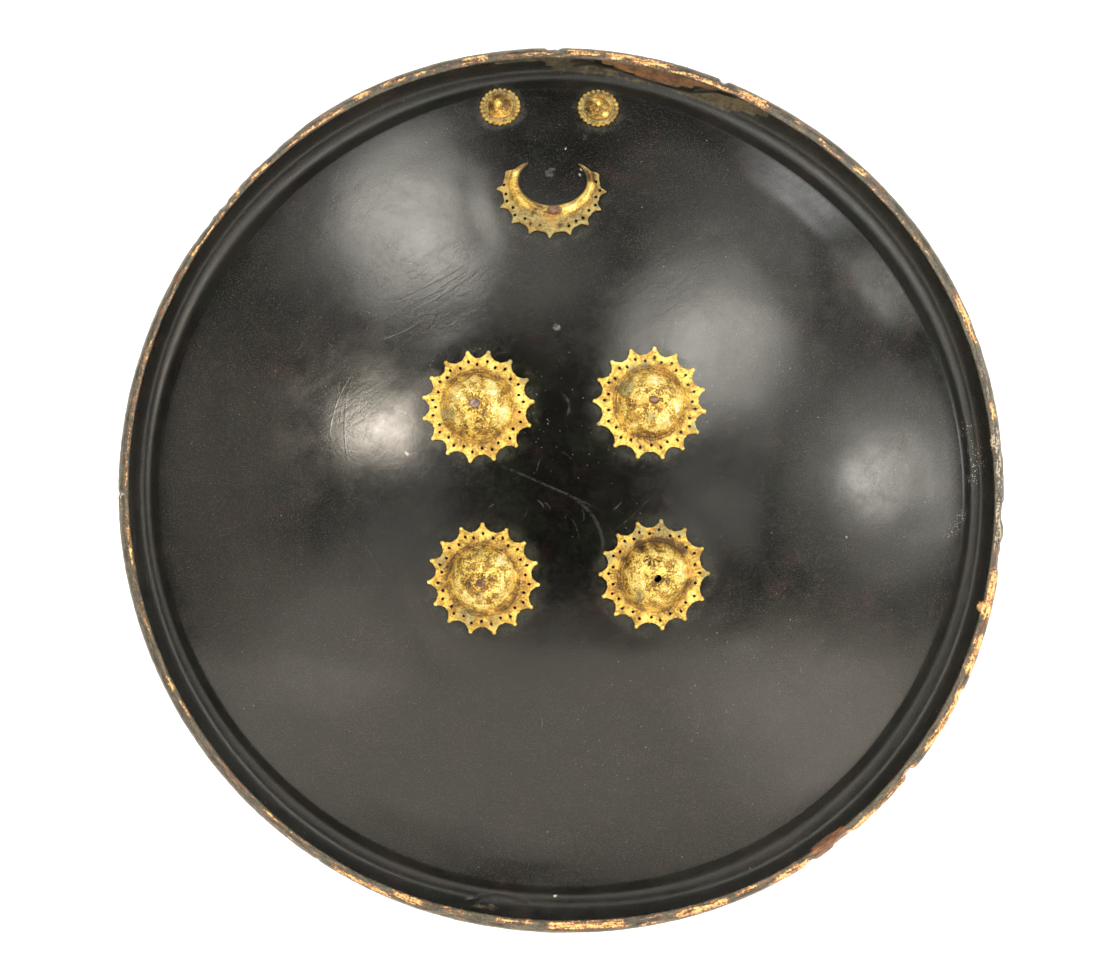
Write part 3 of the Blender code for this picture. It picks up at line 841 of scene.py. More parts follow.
RIM_COPPER = (
    (24.4, 27.2, 1.0, 4.5, 0.9), (31.0, 41.0, 3.6, 5.6, 0.45), (42.3, 44.8, 1.5, 4.0, 0.85),
    (47.0, 56.0, 1.6, 4.4, 0.5), (58.0, 60.6, 2.0, 4.6, 0.6), (90.0, 99.0, 2.0, 6.0, 0.6),
    (103.4, 119.0, 3.0, 6.4, 0.5), (119.0, 131.0, 1.6, 4.2, 0.45), (150.0, 152.0, 1.8, 6.4),
    (155.3, 156.8, 2.6, 5.8), (158.0, 170.0, 4.4, 6.6, 0.7), (190.0, 200.0, 4.0, 6.4, 0.65),
    (218.5, 224.2, 4.6, 6.8, 0.95), (304.2, 310.5, 0.6, 8.4, 0.9), (316.0, 323.0, 0.6, 3.8, 0.75),
    (325.0, 329.0, 1.0, 4.4, 0.8), (341.0, 343.6, 1.0, 5.2, 0.9), (349.0, 354.0, 1.0, 5.4, 0.8),
    (268.0, 279.0, 0.8, 2.8, 0.6), (285.0, 300.0, 4.6, 6.4, 0.5),
)
# Pale wear; the narrow strips along the arris, 5.4 to 7 mm in, are painted highlight
RIM_PALE = (
    (0.0, 8.6, 1.0, 6.4, 0.75), (5.0, 7.6, 5.4, 8.0, 0.7), (11.8, 19.2, 2.0, 5.4, 0.5),
    (180.2, 181.0, 1.2, 4.4), (231.3, 232.7, 0.4, 2.2), (352.0, 360.0, 1.4, 6.2, 0.75),
    (86.0, 91.0, 5.6, 7.0, 0.6), (126.0, 127.5, 5.4, 6.6, 0.8), (300.0, 318.0, 5.6, 6.8, 0.6),
)
RIM_BARE = (
    (68.6, 73.0, 6.4, 8.6), (70.4, 84.6, 6.4, 9.0), (71.8, 83.0, 8.0, 11.2), (73.6, 80.0, 10.6, 13.0),
    (304.6, 308.6, 6.0, 9.0, 0.8),
)
RIM_OLIVE = (
    (61.0, 66.5, 7.2, 9.4), (62.6, 71.0, 8.6, 11.6), (64.6, 71.8, 11.0, 13.6), (65.8, 73.6, 13.0, 15.6),
    (72.0, 89.0, 13.6, 16.4, 0.45), (82.0, 91.6, 10.8, 14.6, 0.8), (85.4, 92.4, 7.0, 11.4, 0.95),
    (91.6, 99.0, 6.8, 8.6, 0.8), (257.0, 262.0, 8.6, 12.6, 0.5),
)
RIM_WEAR = tuple(
    WornPatch(wear, *row)
    for wear, rows in (
        (Wear.GOLD, RIM_GOLD),
        (Wear.COPPER, RIM_COPPER),
        (Wear.PALE, RIM_PALE),
        (Wear.BARE, RIM_BARE),
        (Wear.OLIVE, RIM_OLIVE),
    )
    for row in rows
)
RIM_NOTCHES = tuple(
    Notch(*row)
    for row in (
        (5.6, 1.6, 0.4), (21.0, 1.3, 0.5), (136.5, 13.0, 1.1), (68.3, 0.7, 1.8), (91.0, 1.2, 1.2),
        (139.6, 0.8, 1.2), (180.4, 0.4, 0.8), (236.6, 0.5, 1.0), (303.9, 0.9, 1.6), (309.0, 2.2, 1.4),
        (321.0, 1.1, 2.2), (333.0, 0.8, 1.0), (351.5, 2.6, 1.3), (357.0, 1.8, 1.6),
    )
)
# Dark lines where the lacquer is torn or creased, painted with the shadow of the step: direction in degrees,
# millimetres in from the edge
TORN_LINES = (
    (
        (65.8, 6.8), (69.0, 8.6), (72.0, 13.4), (75.0, 14.4), (78.0, 13.8), (81.0, 12.2), (84.0, 9.8),
        (86.0, 9.4), (88.6, 11.4),
    ),
    ((84.6, 9.2), (87.0, 8.2), (89.0, 9.0)),
    ((257.2, 12.0), (259.0, 15.8), (261.0, 17.0), (263.0, 16.6), (265.4, 15.2)),
)


@dataclass(frozen=True)
class SpeckCluster:
    """A scatter of pale specks round a pixel of the picture."""

    middle: Place
    reach: float
    density: float


@dataclass(frozen=True)
class Blemish:
    """A pale spot in the lacquer, round a pixel of the picture."""

    middle: Place
    reach: float
    strength: float


@dataclass(frozen=True)
class LacqueredHide:
    """Black lacquer over hide: cloudy sheen, fine creases, scratches, specks and a worn gilt rim."""

    black: Colour = tone(4, 4, 3)
    plum: Colour = tone(27, 16, 18)
    umber: Colour = tone(12, 12, 8)
    rust: Colour = tone(58, 34, 26)
    moss: Colour = tone(18, 23, 14)
    grain: Colour = tone(34, 31, 27)
    dust: Colour = tone(172, 174, 166)
    residue: Colour = tone(92, 94, 78)
    rim: Colour = tone(100, 94, 80)
    rim_dark: Colour = tone(46, 43, 36)
    bare: Colour = tone(106, 74, 46)
    bare_dark: Colour = tone(62, 44, 28)
    olive: Colour = tone(78, 69, 48)
    olive_dark: Colour = tone(38, 34, 24)
    leaf: Colour = tone(246, 204, 138)
    leaf_deep: Colour = tone(204, 142, 80)
    bole: Colour = tone(134, 88, 56)
    copper: Colour = tone(150, 96, 68)
    pale: Colour = tone(188, 172, 150)
    crack_and_shadow: Colour = tone(14, 10, 7)
    polish: float = 0.115
    boss_places: tuple[Place, ...] = ()
    small_places: tuple[Place, ...] = ()
    scratches: tuple[Scratch, ...] = ()
    creases: tuple[Scratch, ...] = ()
    clusters: tuple[SpeckCluster, ...] = ()
    blemishes: tuple[Blemish, ...] = ()

    def material(self) -> bpy.types.Material:
        """Build the finish from its layers.

        Returns:
            The material.
        """
        graph = Graph("lacquered_hide")
        place = graph.place()
        flat = graph.vector("MULTIPLY", place, (1.0, 1.0, 0.0))
        inset = graph.attribute("inset")
        front = graph.attribute("front")

        cloud = graph.noise(place, 11.0, 6.0, 0.62)
        mottle = graph.noise(place, 55.0, 6.0, 0.68)
        leather = graph.noise(place, 190.0, 2.0, 0.5)
        crumb = graph.noise(place, 320.0, 5.0, 0.7)
        ragged = graph.noise(place, 130.0, 4.0, 0.65)
        frayed = graph.shifted(flat, ragged * 0.007 - 0.0035, mottle * 0.008 - 0.004)
        streaks = self._smears(graph, place)

        colour = graph.mix(cloud.ease(0.40, 0.66), self.black, self.umber)
        tint = graph.noise(place, 34.0, 5.0, 0.7)
        hue = graph.noise(graph.vector("ADD", place, (0.37, 0.21, 0.0)), 26.0, 6.0, 0.72)
        colour = graph.mix(tint.ease(0.50, 0.68) * 0.45, colour, self.plum)
        colour = graph.mix(hue.ease(0.50, 0.36) * 0.38, colour, self.moss)
        colour = graph.mix((hue * 0.7 + mottle * 0.4).ease(0.585, 0.74) * 0.28, colour, self.rust)
        colour = graph.mix((crumb * 0.6 + mottle * 0.5).ease(0.50, 0.72) * 0.22, colour, self.grain)
        # Fewer grains of powder towards the middle
        off_middle = graph.away(flat, (0.0, 0.0)).ease(0.05, 0.16)
        powder = graph.noise(place, 1500.0, 2.0, 0.6).ease(0.48, 0.74) * (off_middle * 0.060 + 0.006)
        colour = graph.mix(powder, colour, self.dust)
        sheen = self.polish + cloud.ease(0.3, 0.7) * 0.04 + mottle.ease(0.32, 0.72) * 0.06
        sheen = sheen + crumb.ease(0.4, 0.7) * 0.02 + streaks * 0.03

        halo = self._halo(graph, frayed) * mottle.ease(0.34, 0.62)
        colour = graph.mix(halo * 0.17, colour, self.residue)
        sheen = sheen + halo * 0.13
        grime = inset.ease(0.0066, 0.0090) * inset.ease(0.0300, 0.0250) * front
        sheen = sheen + grime * 0.20

        marks = self._marks(graph, flat, self.scratches) * crumb.ease(0.34, 0.58)
        folds = self._marks(graph, flat, self.creases) * mottle.ease(0.30, 0.56)
        # Creases lighten the colour a little along their ridges: painted highlight
        colour = graph.mix(marks.most(folds * 0.045), colour, self.dust)
        spots = self._spots(graph, frayed, crumb)
        colour = graph.mix(spots, colour, self.dust)
        specks = self._specks(graph, place, flat)
        colour = graph.mix(specks, colour, self.dust)

        scar = (mottle - 0.5) * 0.9 + (crumb - 0.5) * 0.6
        olive = graph.attribute("olive")
        torn = (olive + scar).ease(0.42, 0.62) * olive.ease(0.02, 0.2)
        hide = graph.mix((crumb * 0.7 + mottle * 0.5).ease(0.50, 0.74), self.olive_dark, self.olive)
        colour = graph.mix(torn, colour, hide)
        bare = graph.attribute("bare")
        stripped = (bare + scar * 0.7).ease(0.40, 0.58) * bare.ease(0.02, 0.2)
        hide = graph.mix((crumb * 0.6 + mottle * 0.6).ease(0.46, 0.72), self.bare_dark, self.bare)
        colour = graph.mix(stripped, colour, hide)
        torn = torn.most(stripped)
        sheen = sheen + torn * 0.3

        band = inset.ease(0.0077, 0.0067) * front
        colour, sheen, leaf, flakes = self._edge(graph, place, colour, sheen, band)
        # The torn step is painted dark: a crack with its painted shadow
        step = graph.attribute("step")
        colour = graph.mix(step.ease(0.3, 0.8) * 0.92, colour, self.crack_and_shadow)

        relief = crumb * (torn.most(band) * 0.5 + 0.04) + leather * 0.12
        relief = relief + folds * 0.24 - torn * 1.0 - step * 1.5 + flakes
        normal = graph.bump(relief, 0.4, 0.0004)
        normal = graph.bump(self._creases(graph, place, mottle), 0.5, 0.0008, normal)
        normal = graph.bump(graph.noise(place, 13.0, 2.0, 0.5), 0.35, 0.0020, normal)
        return graph.finish(
            Base_Color=colour,
            Roughness=sheen,
            Metallic=leaf * 0.35,
            Normal=normal,
            IOR=1.5,
        )

    @staticmethod
    def _stretched(graph: Graph, place: Wire, turn: float, scale: tuple[float, float], seed: float) -> Wire:
        """Return places scaled less along a direction, in radians, than across it."""
        inputs = {
            "Vector": place,
            "Location": (seed, seed, 0.0),
            "Rotation": (0.0, 0.0, turn),
            "Scale": (1 / scale[0], 1 / scale[1], 1 / 40.0),
        }
        return graph.node("ShaderNodeMapping", {"vector_type": "TEXTURE"}, inputs)

    def _smears(self, graph: Graph, place: Wire) -> Wire:
        """Return faint wiping marks that run in several directions."""
        streaks = []
        for turn, seed in ((0.62, 0.0), (-0.55, 3.1), (1.25, 5.7)):
            wide = self._stretched(graph, place, turn, (16.0, 190.0), seed)
            streaks.append(graph.noise(wide, 1.0, 4.0, 0.6).ease(0.50, 0.74))
        return largest(streaks)

    def _creases(self, graph: Graph, place: Wire, mottle: Wire) -> Wire:
        """Return the fine creases of the hide, deeper where it was bent."""
        warp = graph.noise(place, 120.0, 3.0, 0.6)
        shifted = graph.shifted(place, warp * 0.012, warp * 0.012)
        net = graph.cells(shifted, 130.0, "DISTANCE_TO_EDGE").ease(0.0, 0.14) * 0.16
        bent = self._stretched(graph, shifted, 0.60, (34.0, 260.0), 2.0)
        folds = graph.noise(bent, 1.0, 4.0, 0.6)
        deep = graph.attribute("creased")
        return net * mottle.ease(0.40, 0.60) * (deep * 0.22 + 0.12) + folds * (deep * 0.12 + 0.04)

    def _halo(self, graph: Graph, flat: Wire) -> Wire:
        """Return where polish has dried around the mounts."""
        halos = []
        rings = [(place, 0.024, 0.031, 0.042) for place in self.boss_places]
        rings += [(place, 0.010, 0.013, 0.018) for place in self.small_places]
        for place, inner, full, outer in rings:
            away = graph.away(flat, place)
            halos.append(away.ease(inner, full) * away.ease(outer, full))
        horn = FORM.polar_place(91.9, 0.0925)
        height = graph.node("ShaderNodeSeparateXYZ", None, {"Vector": flat}, "Y")
        away = graph.away(flat, horn)
        below = height.ease(horn[1] + 0.004, horn[1] - 0.014)
        halos.append(away.ease(0.030, 0.034) * away.ease(0.040, 0.034) * below)
        return largest(halos)

    @staticmethod
    def _marks(graph: Graph, flat: Wire, lines: Sequence[Scratch]) -> Wire:
        """Return where scratches or creases run."""
        marks = []
        for scratch in lines:
            centre, radius, middle, half = scratch.circle()
            width = scratch.width * MILLIMETRE
            across = abs(graph.away(flat, centre) - radius).ease(width, width * 0.2)
            along = graph.away(flat, middle).ease(half, half * 0.55)
            marks.append(across * along * scratch.strength)
        return largest(marks)

    def _spots(self, graph: Graph, flat: Wire, crumb: Wire) -> Wire:
        """Return where the pale blemishes lie."""
        covers = []
        for blemish in self.blemishes:
            away = graph.away(flat, Scratch.on_dome(blemish.middle))
            reach = blemish.reach * PORTRAIT.metres_per_pixel
            covers.append(away.ease(reach, reach * 0.25) * blemish.strength)
        return (largest(covers) * (crumb * 2.0 - 0.25)).ease(0.08, 0.9)

    def _specks(self, graph: Graph, place: Wire, flat: Wire) -> Wire:
        """Return where grains of dust and tiny chips in the lacquer show."""
        nears = []
        for cluster in self.clusters:
            away = graph.away(flat, Scratch.on_dome(cluster.middle))
            reach = cluster.reach * PORTRAIT.metres_per_pixel
            nears.append(away.ease(reach, reach * 0.3) * cluster.density)
        crowd = reduce(Wire.__add__, nears)
        grains = []
        for scale, size, share in ((240.0, 0.12, 0.008), (460.0, 0.22, 0.006), (900.0, 0.30, 0.004)):
            cell = graph.cells(place, scale, "F1", "Color")
            picked = (crowd + graph.channel(cell, "Red") + share).ease(0.995, 1.005)
            bright = graph.channel(cell, "Green") * 0.8 + 0.2
            grains.append(graph.cells(place, scale, "F1").ease(size, size * 0.4) * picked * bright)
        return largest(grains) * (crowd * 0.7 + 0.5)

    def _edge(
        self, graph: Graph, place: Wire, colour: Wire, sheen: Wire, band: Wire
    ) -> tuple[Wire, Wire, Wire, Wire]:
        """Lay the mottled rim and its rubbed gold leaf over the lacquer.

        Args:
            graph: The material's graph.
            place: The place on the piece.
            colour: The colour so far.
            sheen: The roughness so far.
            band: Where the rim is.

        Returns:
            The colour, the roughness, where the gold shows and the height of the flakes.
        """
        run = graph.node("ShaderNodeAttribute", {"attribute_name": "rim_run"}, output="Vector")
        streak = graph.noise(graph.vector("MULTIPLY", run, (110.0, 620.0, 1.0)), 1.0, 5.0, 0.62) - 0.5
        blot = graph.noise(graph.vector("MULTIPLY", run, (60.0, 210.0, 1.0)), 1.0, 4.0, 0.6) - 0.5
        fleck = graph.noise(place, 650.0, 4.0, 0.65) - 0.5
        ragged = streak * 1.9 + fleck * 1.5
        rim = graph.mix((ragged + blot * 0.8 + 0.5).ease(0.05, 1.0), self.rim_dark, self.rim)
        colour = graph.mix(band, colour, rim)
        sheen = sheen + band * 0.2
        copper = graph.attribute("copper")
        reddish = (copper * 0.7 + ragged).ease(0.30, 0.80) * copper.ease(0.02, 0.3)
        raw = graph.mix((streak - fleck + blot + 0.5).ease(0.1, 0.9), self.bare_dark, self.copper)
        colour = graph.mix(reddish, colour, raw)
        pale = graph.attribute("pale")
        pale = (pale * 0.75 + ragged * 1.2).ease(0.50, 0.85) * pale.ease(0.02, 0.3)
        colour = graph.mix(pale, colour, self.pale)
        gold = graph.attribute("gold") * 0.60
        stray = (ragged * 0.7 + blot * 0.8 + band * 0.02) * band
        painted = band.most(graph.attribute("gold").ease(0.05, 0.4))
        cover = (gold + ragged + blot * 0.5).most(stray)
        colour = graph.mix(cover.ease(0.18, 0.46) * painted * 0.85, colour, self.bole)
        leaf = cover.ease(0.40, 0.70) * painted
        bright = graph.mix((fleck + streak + 0.5).ease(0.15, 0.85), self.leaf_deep, self.leaf)
        colour = graph.mix(leaf, colour, bright)
        return colour, sheen + leaf * 0.05, leaf, (ragged * 0.6 * band + leaf * 0.25)


@dataclass
class HideShell:
    """The moulded hide bowl with its turned-up, chipped rim."""

    segments: int = 840
    dome_steps: int = 42
    bores: list[tuple[Matrix, float]] = field(default_factory=list)

    # Distance in from the edge and height of the face between the dome and the arris, in millimetres
    GUTTER = (
        (28.4, 12.28), (27.7, 12.0), (27.0, 11.66), (26.3, 11.24), (25.6, 10.72), (24.9, 10.12),
        (24.2, 9.47), (23.5, 8.82), (22.8, 8.2), (22.1, 7.65), (21.4, 7.2), (20.8, 6.89), (20.2, 6.65),
        (19.6, 6.47), (19.0, 6.34), (18.4, 6.25), (17.8, 6.19), (17.2, 6.16), (16.6, 6.17), (16.0, 6.22),
        (15.4, 6.33), (14.8, 6.52), (14.2, 6.8), (13.6, 7.17), (13.0, 7.62), (12.3, 8.22), (11.5, 8.98),
        (10.7, 9.82), (9.9, 10.72), (9.1, 11.7), (8.4, 12.55), (7.8, 13.3), (7.3, 13.93), (6.8, 14.6),
    )

    def profile(self) -> Profile:
        """Return the section, from the crown down the face, round the lip and back inside.

        Returns:
            Radius and height of each point.
        """
        shoulder = FORM.shoulder
        arris = FORM.radius - FORM.lip_width
        foot_outer = FORM.radius - FORM.foot_outer_inset
        foot_inner = foot_outer - FORM.foot_width
        section: Profile = []
        last = FORM.radius - 0.0300
        for index in range(self.dome_steps):
            reach = last * index / (self.dome_steps - 1)
            section.append((reach, float(FORM.dome_height(reach))))
        for inset, height in self.GUTTER:
            section.append((FORM.radius - inset * MILLIMETRE, height * MILLIMETRE))
        for index in range(1, 9):
            angle = math.radians(90 - 90 * index / 8)
            rise = (FORM.lip_height - FORM.edge_height) * math.sin(angle)
            section.append((arris + FORM.lip_width * math.cos(angle), FORM.edge_height + rise))
        for index in range(1, 6):
            angle = math.radians(90 * index / 5)
            across = FORM.foot_outer_inset * math.cos(angle)
            section.append((foot_outer + across, FORM.edge_height * (1 - math.sin(angle))))
        turn = shoulder - 3 * FORM.thickness
        for share in (1.0, 0.75, 0.5, 0.25):
            reach = turn + (foot_inner - turn) * share
            section.append((reach, FORM.back_height(reach)))
        for index in range(14, -1, -1):
            reach = turn * index / 14
            section.append((reach, FORM.back_height(reach)))
        return section

    def build(self) -> bpy.types.Object:
        """Turn the hide, work it by hand and bore it.

        Returns:
            The piece.
        """
        piece = Bench.turn("moulded_hide", self.profile(), self.segments)
        places = Bench.places(piece)
        reach = np.hypot(places[:, 0], places[:, 1])
        angle = np.arctan2(places[:, 1], places[:, 0])
        dome = FORM.dome_height(reach) - 0.5 * FORM.thickness
        front = np.where(reach < FORM.shoulder - 0.004, places[:, 2] > dome, places[:, 2] > 0.0055)
        front = np.where(reach > FORM.radius - 0.0002, True, front)
        Bench.mark(piece, "inset", FORM.radius - reach)
        Bench.mark(piece, "front", front)
        run = np.stack([angle * FORM.radius, FORM.radius - reach, np.zeros(len(angle))], axis=1)
        piece.data.attributes.new("rim_run", "FLOAT_VECTOR", "POINT").data.foreach_set(
            "vector", run.astype(np.float32).reshape(-1)
        )
        shift = FORM.edge_shift(reach, angle)
        factor = 1 + shift / np.maximum(reach, MILLIMETRE)
        places[:, 0] *= factor
        places[:, 1] *= factor
        direction = np.degrees(angle) % 360
        inset = (FORM.radius - reach) / MILLIMETRE
        worn = {wear: np.zeros(len(places)) for wear in Wear}
        for patch in RIM_WEAR:
            worn[patch.wear] = np.maximum(worn[patch.wear], patch.cover(direction, inset) * front)
        for wear, cover in worn.items():
            Bench.mark(piece, wear.value, cover)
        step = np.zeros(len(places))
        for line in TORN_LINES:
            step = np.maximum(step, self.near_line(line, direction, inset))
        Bench.mark(piece, "step", step * front)
        creased = np.zeros(len(places))
        for spot in CREASED:
            middle = Scratch.on_dome(spot.middle)
            away = np.hypot(places[:, 0] - middle[0], places[:, 1] - middle[1])
            outer = spot.reach * PORTRAIT.metres_per_pixel
            creased = np.maximum(creased, ease(away, outer, outer * 0.3) * spot.density)
        Bench.mark(piece, "creased", creased * front)
        chips, dents, slow = (np.zeros(len(places)) for _ in range(3))
        near_rim = inset < 16
        for swells, scale, seed in ((chips, 300.0, 9.0), (dents, 240.0, 11.0), (slow, 70.0, 12.0)):
            swells[near_rim] = swell(places[near_rim], scale, seed)
        bite = sum(notch.bite(direction) for notch in RIM_NOTCHES) * (1 + 0.6 * chips)
        rim = ease(inset, 7.0, 0.5) * (bite + 0.18 * chips + 0.25 * slow - 0.1) * MILLIMETRE
        places[:, 0] -= np.cos(angle) * rim
        places[:, 1] -= np.sin(angle) * rim
        rough = (dents * 0.00022 + slow * 0.00025) * ease(inset, 10.0, 6.0) * front
        flayed = np.maximum(worn[Wear.BARE], worn[Wear.OLIVE])
        places[:, 2] += rough - flayed * 0.0004 * front - step * 0.0003 * front
        places[:, 2] += self.undulation(places, reach)
        Bench.move(piece, places)
        for seat, radius in self.bores:
            rod = Bench.drills([Vector((0.0, 0.0, 0.0))], radius, 6 * FORM.thickness, 16)
            rod.data.transform(seat)
            Bench.cut(piece, rod)
        Bench.smooth(piece, 50.0)
        return piece

    @staticmethod
    def near_line(line: Sequence[Place], direction: np.ndarray, inset: np.ndarray) -> np.ndarray:
        """Return how near places are to a line drawn on the rim.

        Args:
            line: Direction in degrees and distance in, in millimetres, of each point.
            direction: Directions of the places in degrees.
            inset: Their distances in from the edge, in millimetres.

        Returns:
            1 on the line, falling to 0 a millimetre and a half away.
        """
        stations = [point[0] for point in line]
        depths = [point[1] for point in line]
        level = np.interp(direction, stations, depths)
        inside = ease(direction, stations[0] - 0.4, stations[0] + 0.4)
        inside = inside * ease(direction, stations[-1] + 0.4, stations[-1] - 0.4)
        return ease(np.abs(inset - level), 1.5, 0.2) * inside

    @staticmethod
    def undulation(places: np.ndarray, reach: np.ndarray) -> np.ndarray:
        """Return how far the hand-moulded dome swells, dying away at the mounts and the shoulder."""
        swells = swell(places, 9.0, 1.0) * 0.0009 + swell(places, 27.0, 2.0) * 0.00028
        room = ease(reach, FORM.shoulder, FORM.shoulder - 0.03)
        for seat, _ in HideShell.mounts():
            away = np.hypot(places[:, 0] - seat[0], places[:, 1] - seat[1])
            room = room * ease(away, 0.034, 0.055)
        return swells * room

    @staticmethod
    def mounts() -> list[tuple[Place, float]]:
        """Return the middle and reach of each mount on the dome."""
        spots = [(plan.centre, 0.035) for plan in BOSS_PLANS]
        spots += [(FORM.polar_place(plan.direction, plan.inset), 0.013) for plan in SMALL_BOSS_PLANS]
        spots.append((FORM.polar_place(91.9, 0.0925), 0.034))
        return spots


class Tint(Enum):
    """What a patch of the gilding tends to; cream patches are partly painted highlight, dark ones partly
    painted dark reflection.
    """

    CREAM_AND_HIGHLIGHT = "cream_and_highlight"
    YELLOW = "yellow"
    ORANGE = "orange"
    GREEN = "green"
    DARK = "dark"


@dataclass(frozen=True)
class GiltPatch:
    """A patch of the gilding's colour, some of them painted highlight and painted dark reflection, with the
    pixel of the picture at its middle and its reach in pixels.
    """

    tint: Tint
    across: float
    down: float
    reach: float
    strength: float = 1.0

    def cover(self, pixels: np.ndarray) -> np.ndarray:
        """Return how far the patch covers places that show at pixels, 0 to 1."""
        away = np.hypot(pixels[:, 0] - self.across, pixels[:, 1] - self.down)
        return ease(away, self.reach * 1.35, self.reach * 0.45) * self.strength


GILT_PATCHES = tuple(
    GiltPatch(tint, *row)
    for tint, rows in (
        (
            # Cream: worn bright gilding, with painted highlights where lamps glint on the domes
            Tint.CREAM_AND_HIGHLIGHT,
            (
                (491, 388, 7), (505, 411, 6), (461, 400, 8, 0.6), (470, 455, 5, 0.5), (679, 406, 7),
                (678, 408, 4), (664, 425, 7, 0.9), (651, 381, 6, 0.8), (503, 559, 6), (513, 575, 6),
                (508, 566, 5), (681, 566, 6), (684, 576, 6), (679, 572, 4), (652, 552, 5, 0.8),
                (497, 103, 4), (503, 113, 4, 0.8), (597, 101, 3.5), (604, 114, 3, 0.9), (515, 173, 4),
                (573, 206, 6, 0.8), (590, 184, 5, 0.7),
            ),
        ),
        (
            Tint.YELLOW,
            (
                (498, 418, 12), (493, 368, 8), (454, 389, 7), (459, 420, 6), (515, 393, 7),
                (448, 446, 8, 0.7), (680, 396, 9), (683, 378, 7), (669, 360, 8), (674, 442, 8),
                (634, 428, 7, 0.7), (622, 361, 6, 0.8), (456, 587, 8), (465, 602, 8), (504, 594, 8),
                (488, 609, 8), (484, 531, 10), (527, 568, 8), (518, 610, 8, 0.8), (641, 584, 8),
                (661, 598, 9), (661, 568, 6, 0.8), (652, 616, 13), (692, 595, 9), (630, 606, 8, 0.7),
                (498, 118, 5, 0.9), (602, 118, 5, 0.7), (512, 190, 6), (519, 203, 6), (513, 182, 5),
                (566, 209, 7), (580, 200, 7), (575, 232, 7, 0.7),
            ),
        ),
        (
            Tint.ORANGE,
            (
                (519, 417, 8), (489, 396, 6, 0.8), (441, 431, 6, 0.6), (664, 372, 7, 0.9),
                (641, 401, 8, 0.8), (612, 389, 8, 0.8), (663, 405, 5, 0.8), (640, 440, 9, 0.5),
                (509, 590, 6, 0.7), (525, 575, 7, 0.8), (456, 545, 7, 0.5), (613, 591, 8, 0.8),
                (690, 572, 5, 0.6), (497, 116, 8, 0.8), (600, 95, 6, 0.7), (503, 196, 7, 0.7),
                (550, 221, 9, 0.9), (506, 183, 6, 0.6), (530, 218, 7, 0.4), (597, 176, 5, 0.6),
            ),
        ),
        (
            Tint.GREEN,
            (
                (448, 412, 8, 0.8), (451, 397, 5, 0.7), (490, 352, 6), (525, 381, 6), (510, 364, 5, 0.9),
                (465, 365, 6, 0.5), (627, 388, 9), (632, 370, 7, 0.9), (645, 364, 7, 0.9),
                (651, 418, 7, 0.8), (693, 428, 7), (599, 424, 5, 0.9), (676, 352, 5, 0.6),
                (477, 552, 8, 0.55), (480, 600, 6, 0.7), (466, 617, 12, 0.8), (494, 621, 8, 0.8),
                (441, 559, 8, 0.8), (436, 548, 6), (639, 596, 6, 0.8), (661, 527, 12), (639, 531, 10),
                (681, 531, 8), (608, 559, 8), (725, 556, 6), (707, 574, 7), (626, 545, 6, 0.7),
                (603, 107, 6, 0.5), (594, 200, 8, 0.8), (603, 192, 8, 0.8), (598, 216, 8, 0.7),
                (506, 172, 4, 0.8), (529, 161, 5, 0.6), (582, 166, 7, 0.8), (540, 228, 6, 0.6),
            ),
        ),
        (
            # Dark: tarnish, and painted dark reflection, as along the top of the lower right dome
            Tint.DARK,
            (
                (465, 428, 9, 0.9), (481, 380, 6, 0.8), (478, 416, 7, 0.7), (474, 434, 6, 0.6),
                (645, 414, 6, 0.8), (634, 405, 5, 0.6), (468, 579, 8, 0.8), (496, 575, 7, 0.7),
                (450, 566, 6, 0.7), (484, 586, 5, 0.5), (649, 560, 5, 0.8), (654, 541, 7), (668, 541, 7),
                (681, 549, 6), (640, 546, 6), (629, 559, 7, 0.8), (671, 585, 5, 0.5), (500, 97, 8, 0.8),
                (492, 106, 5, 0.7), (590, 107, 7, 0.8), (538, 208, 7, 0.6), (560, 223, 6, 0.5),
                (592, 176, 5, 0.5),
            ),
        ),
    )
    for row in rows
)


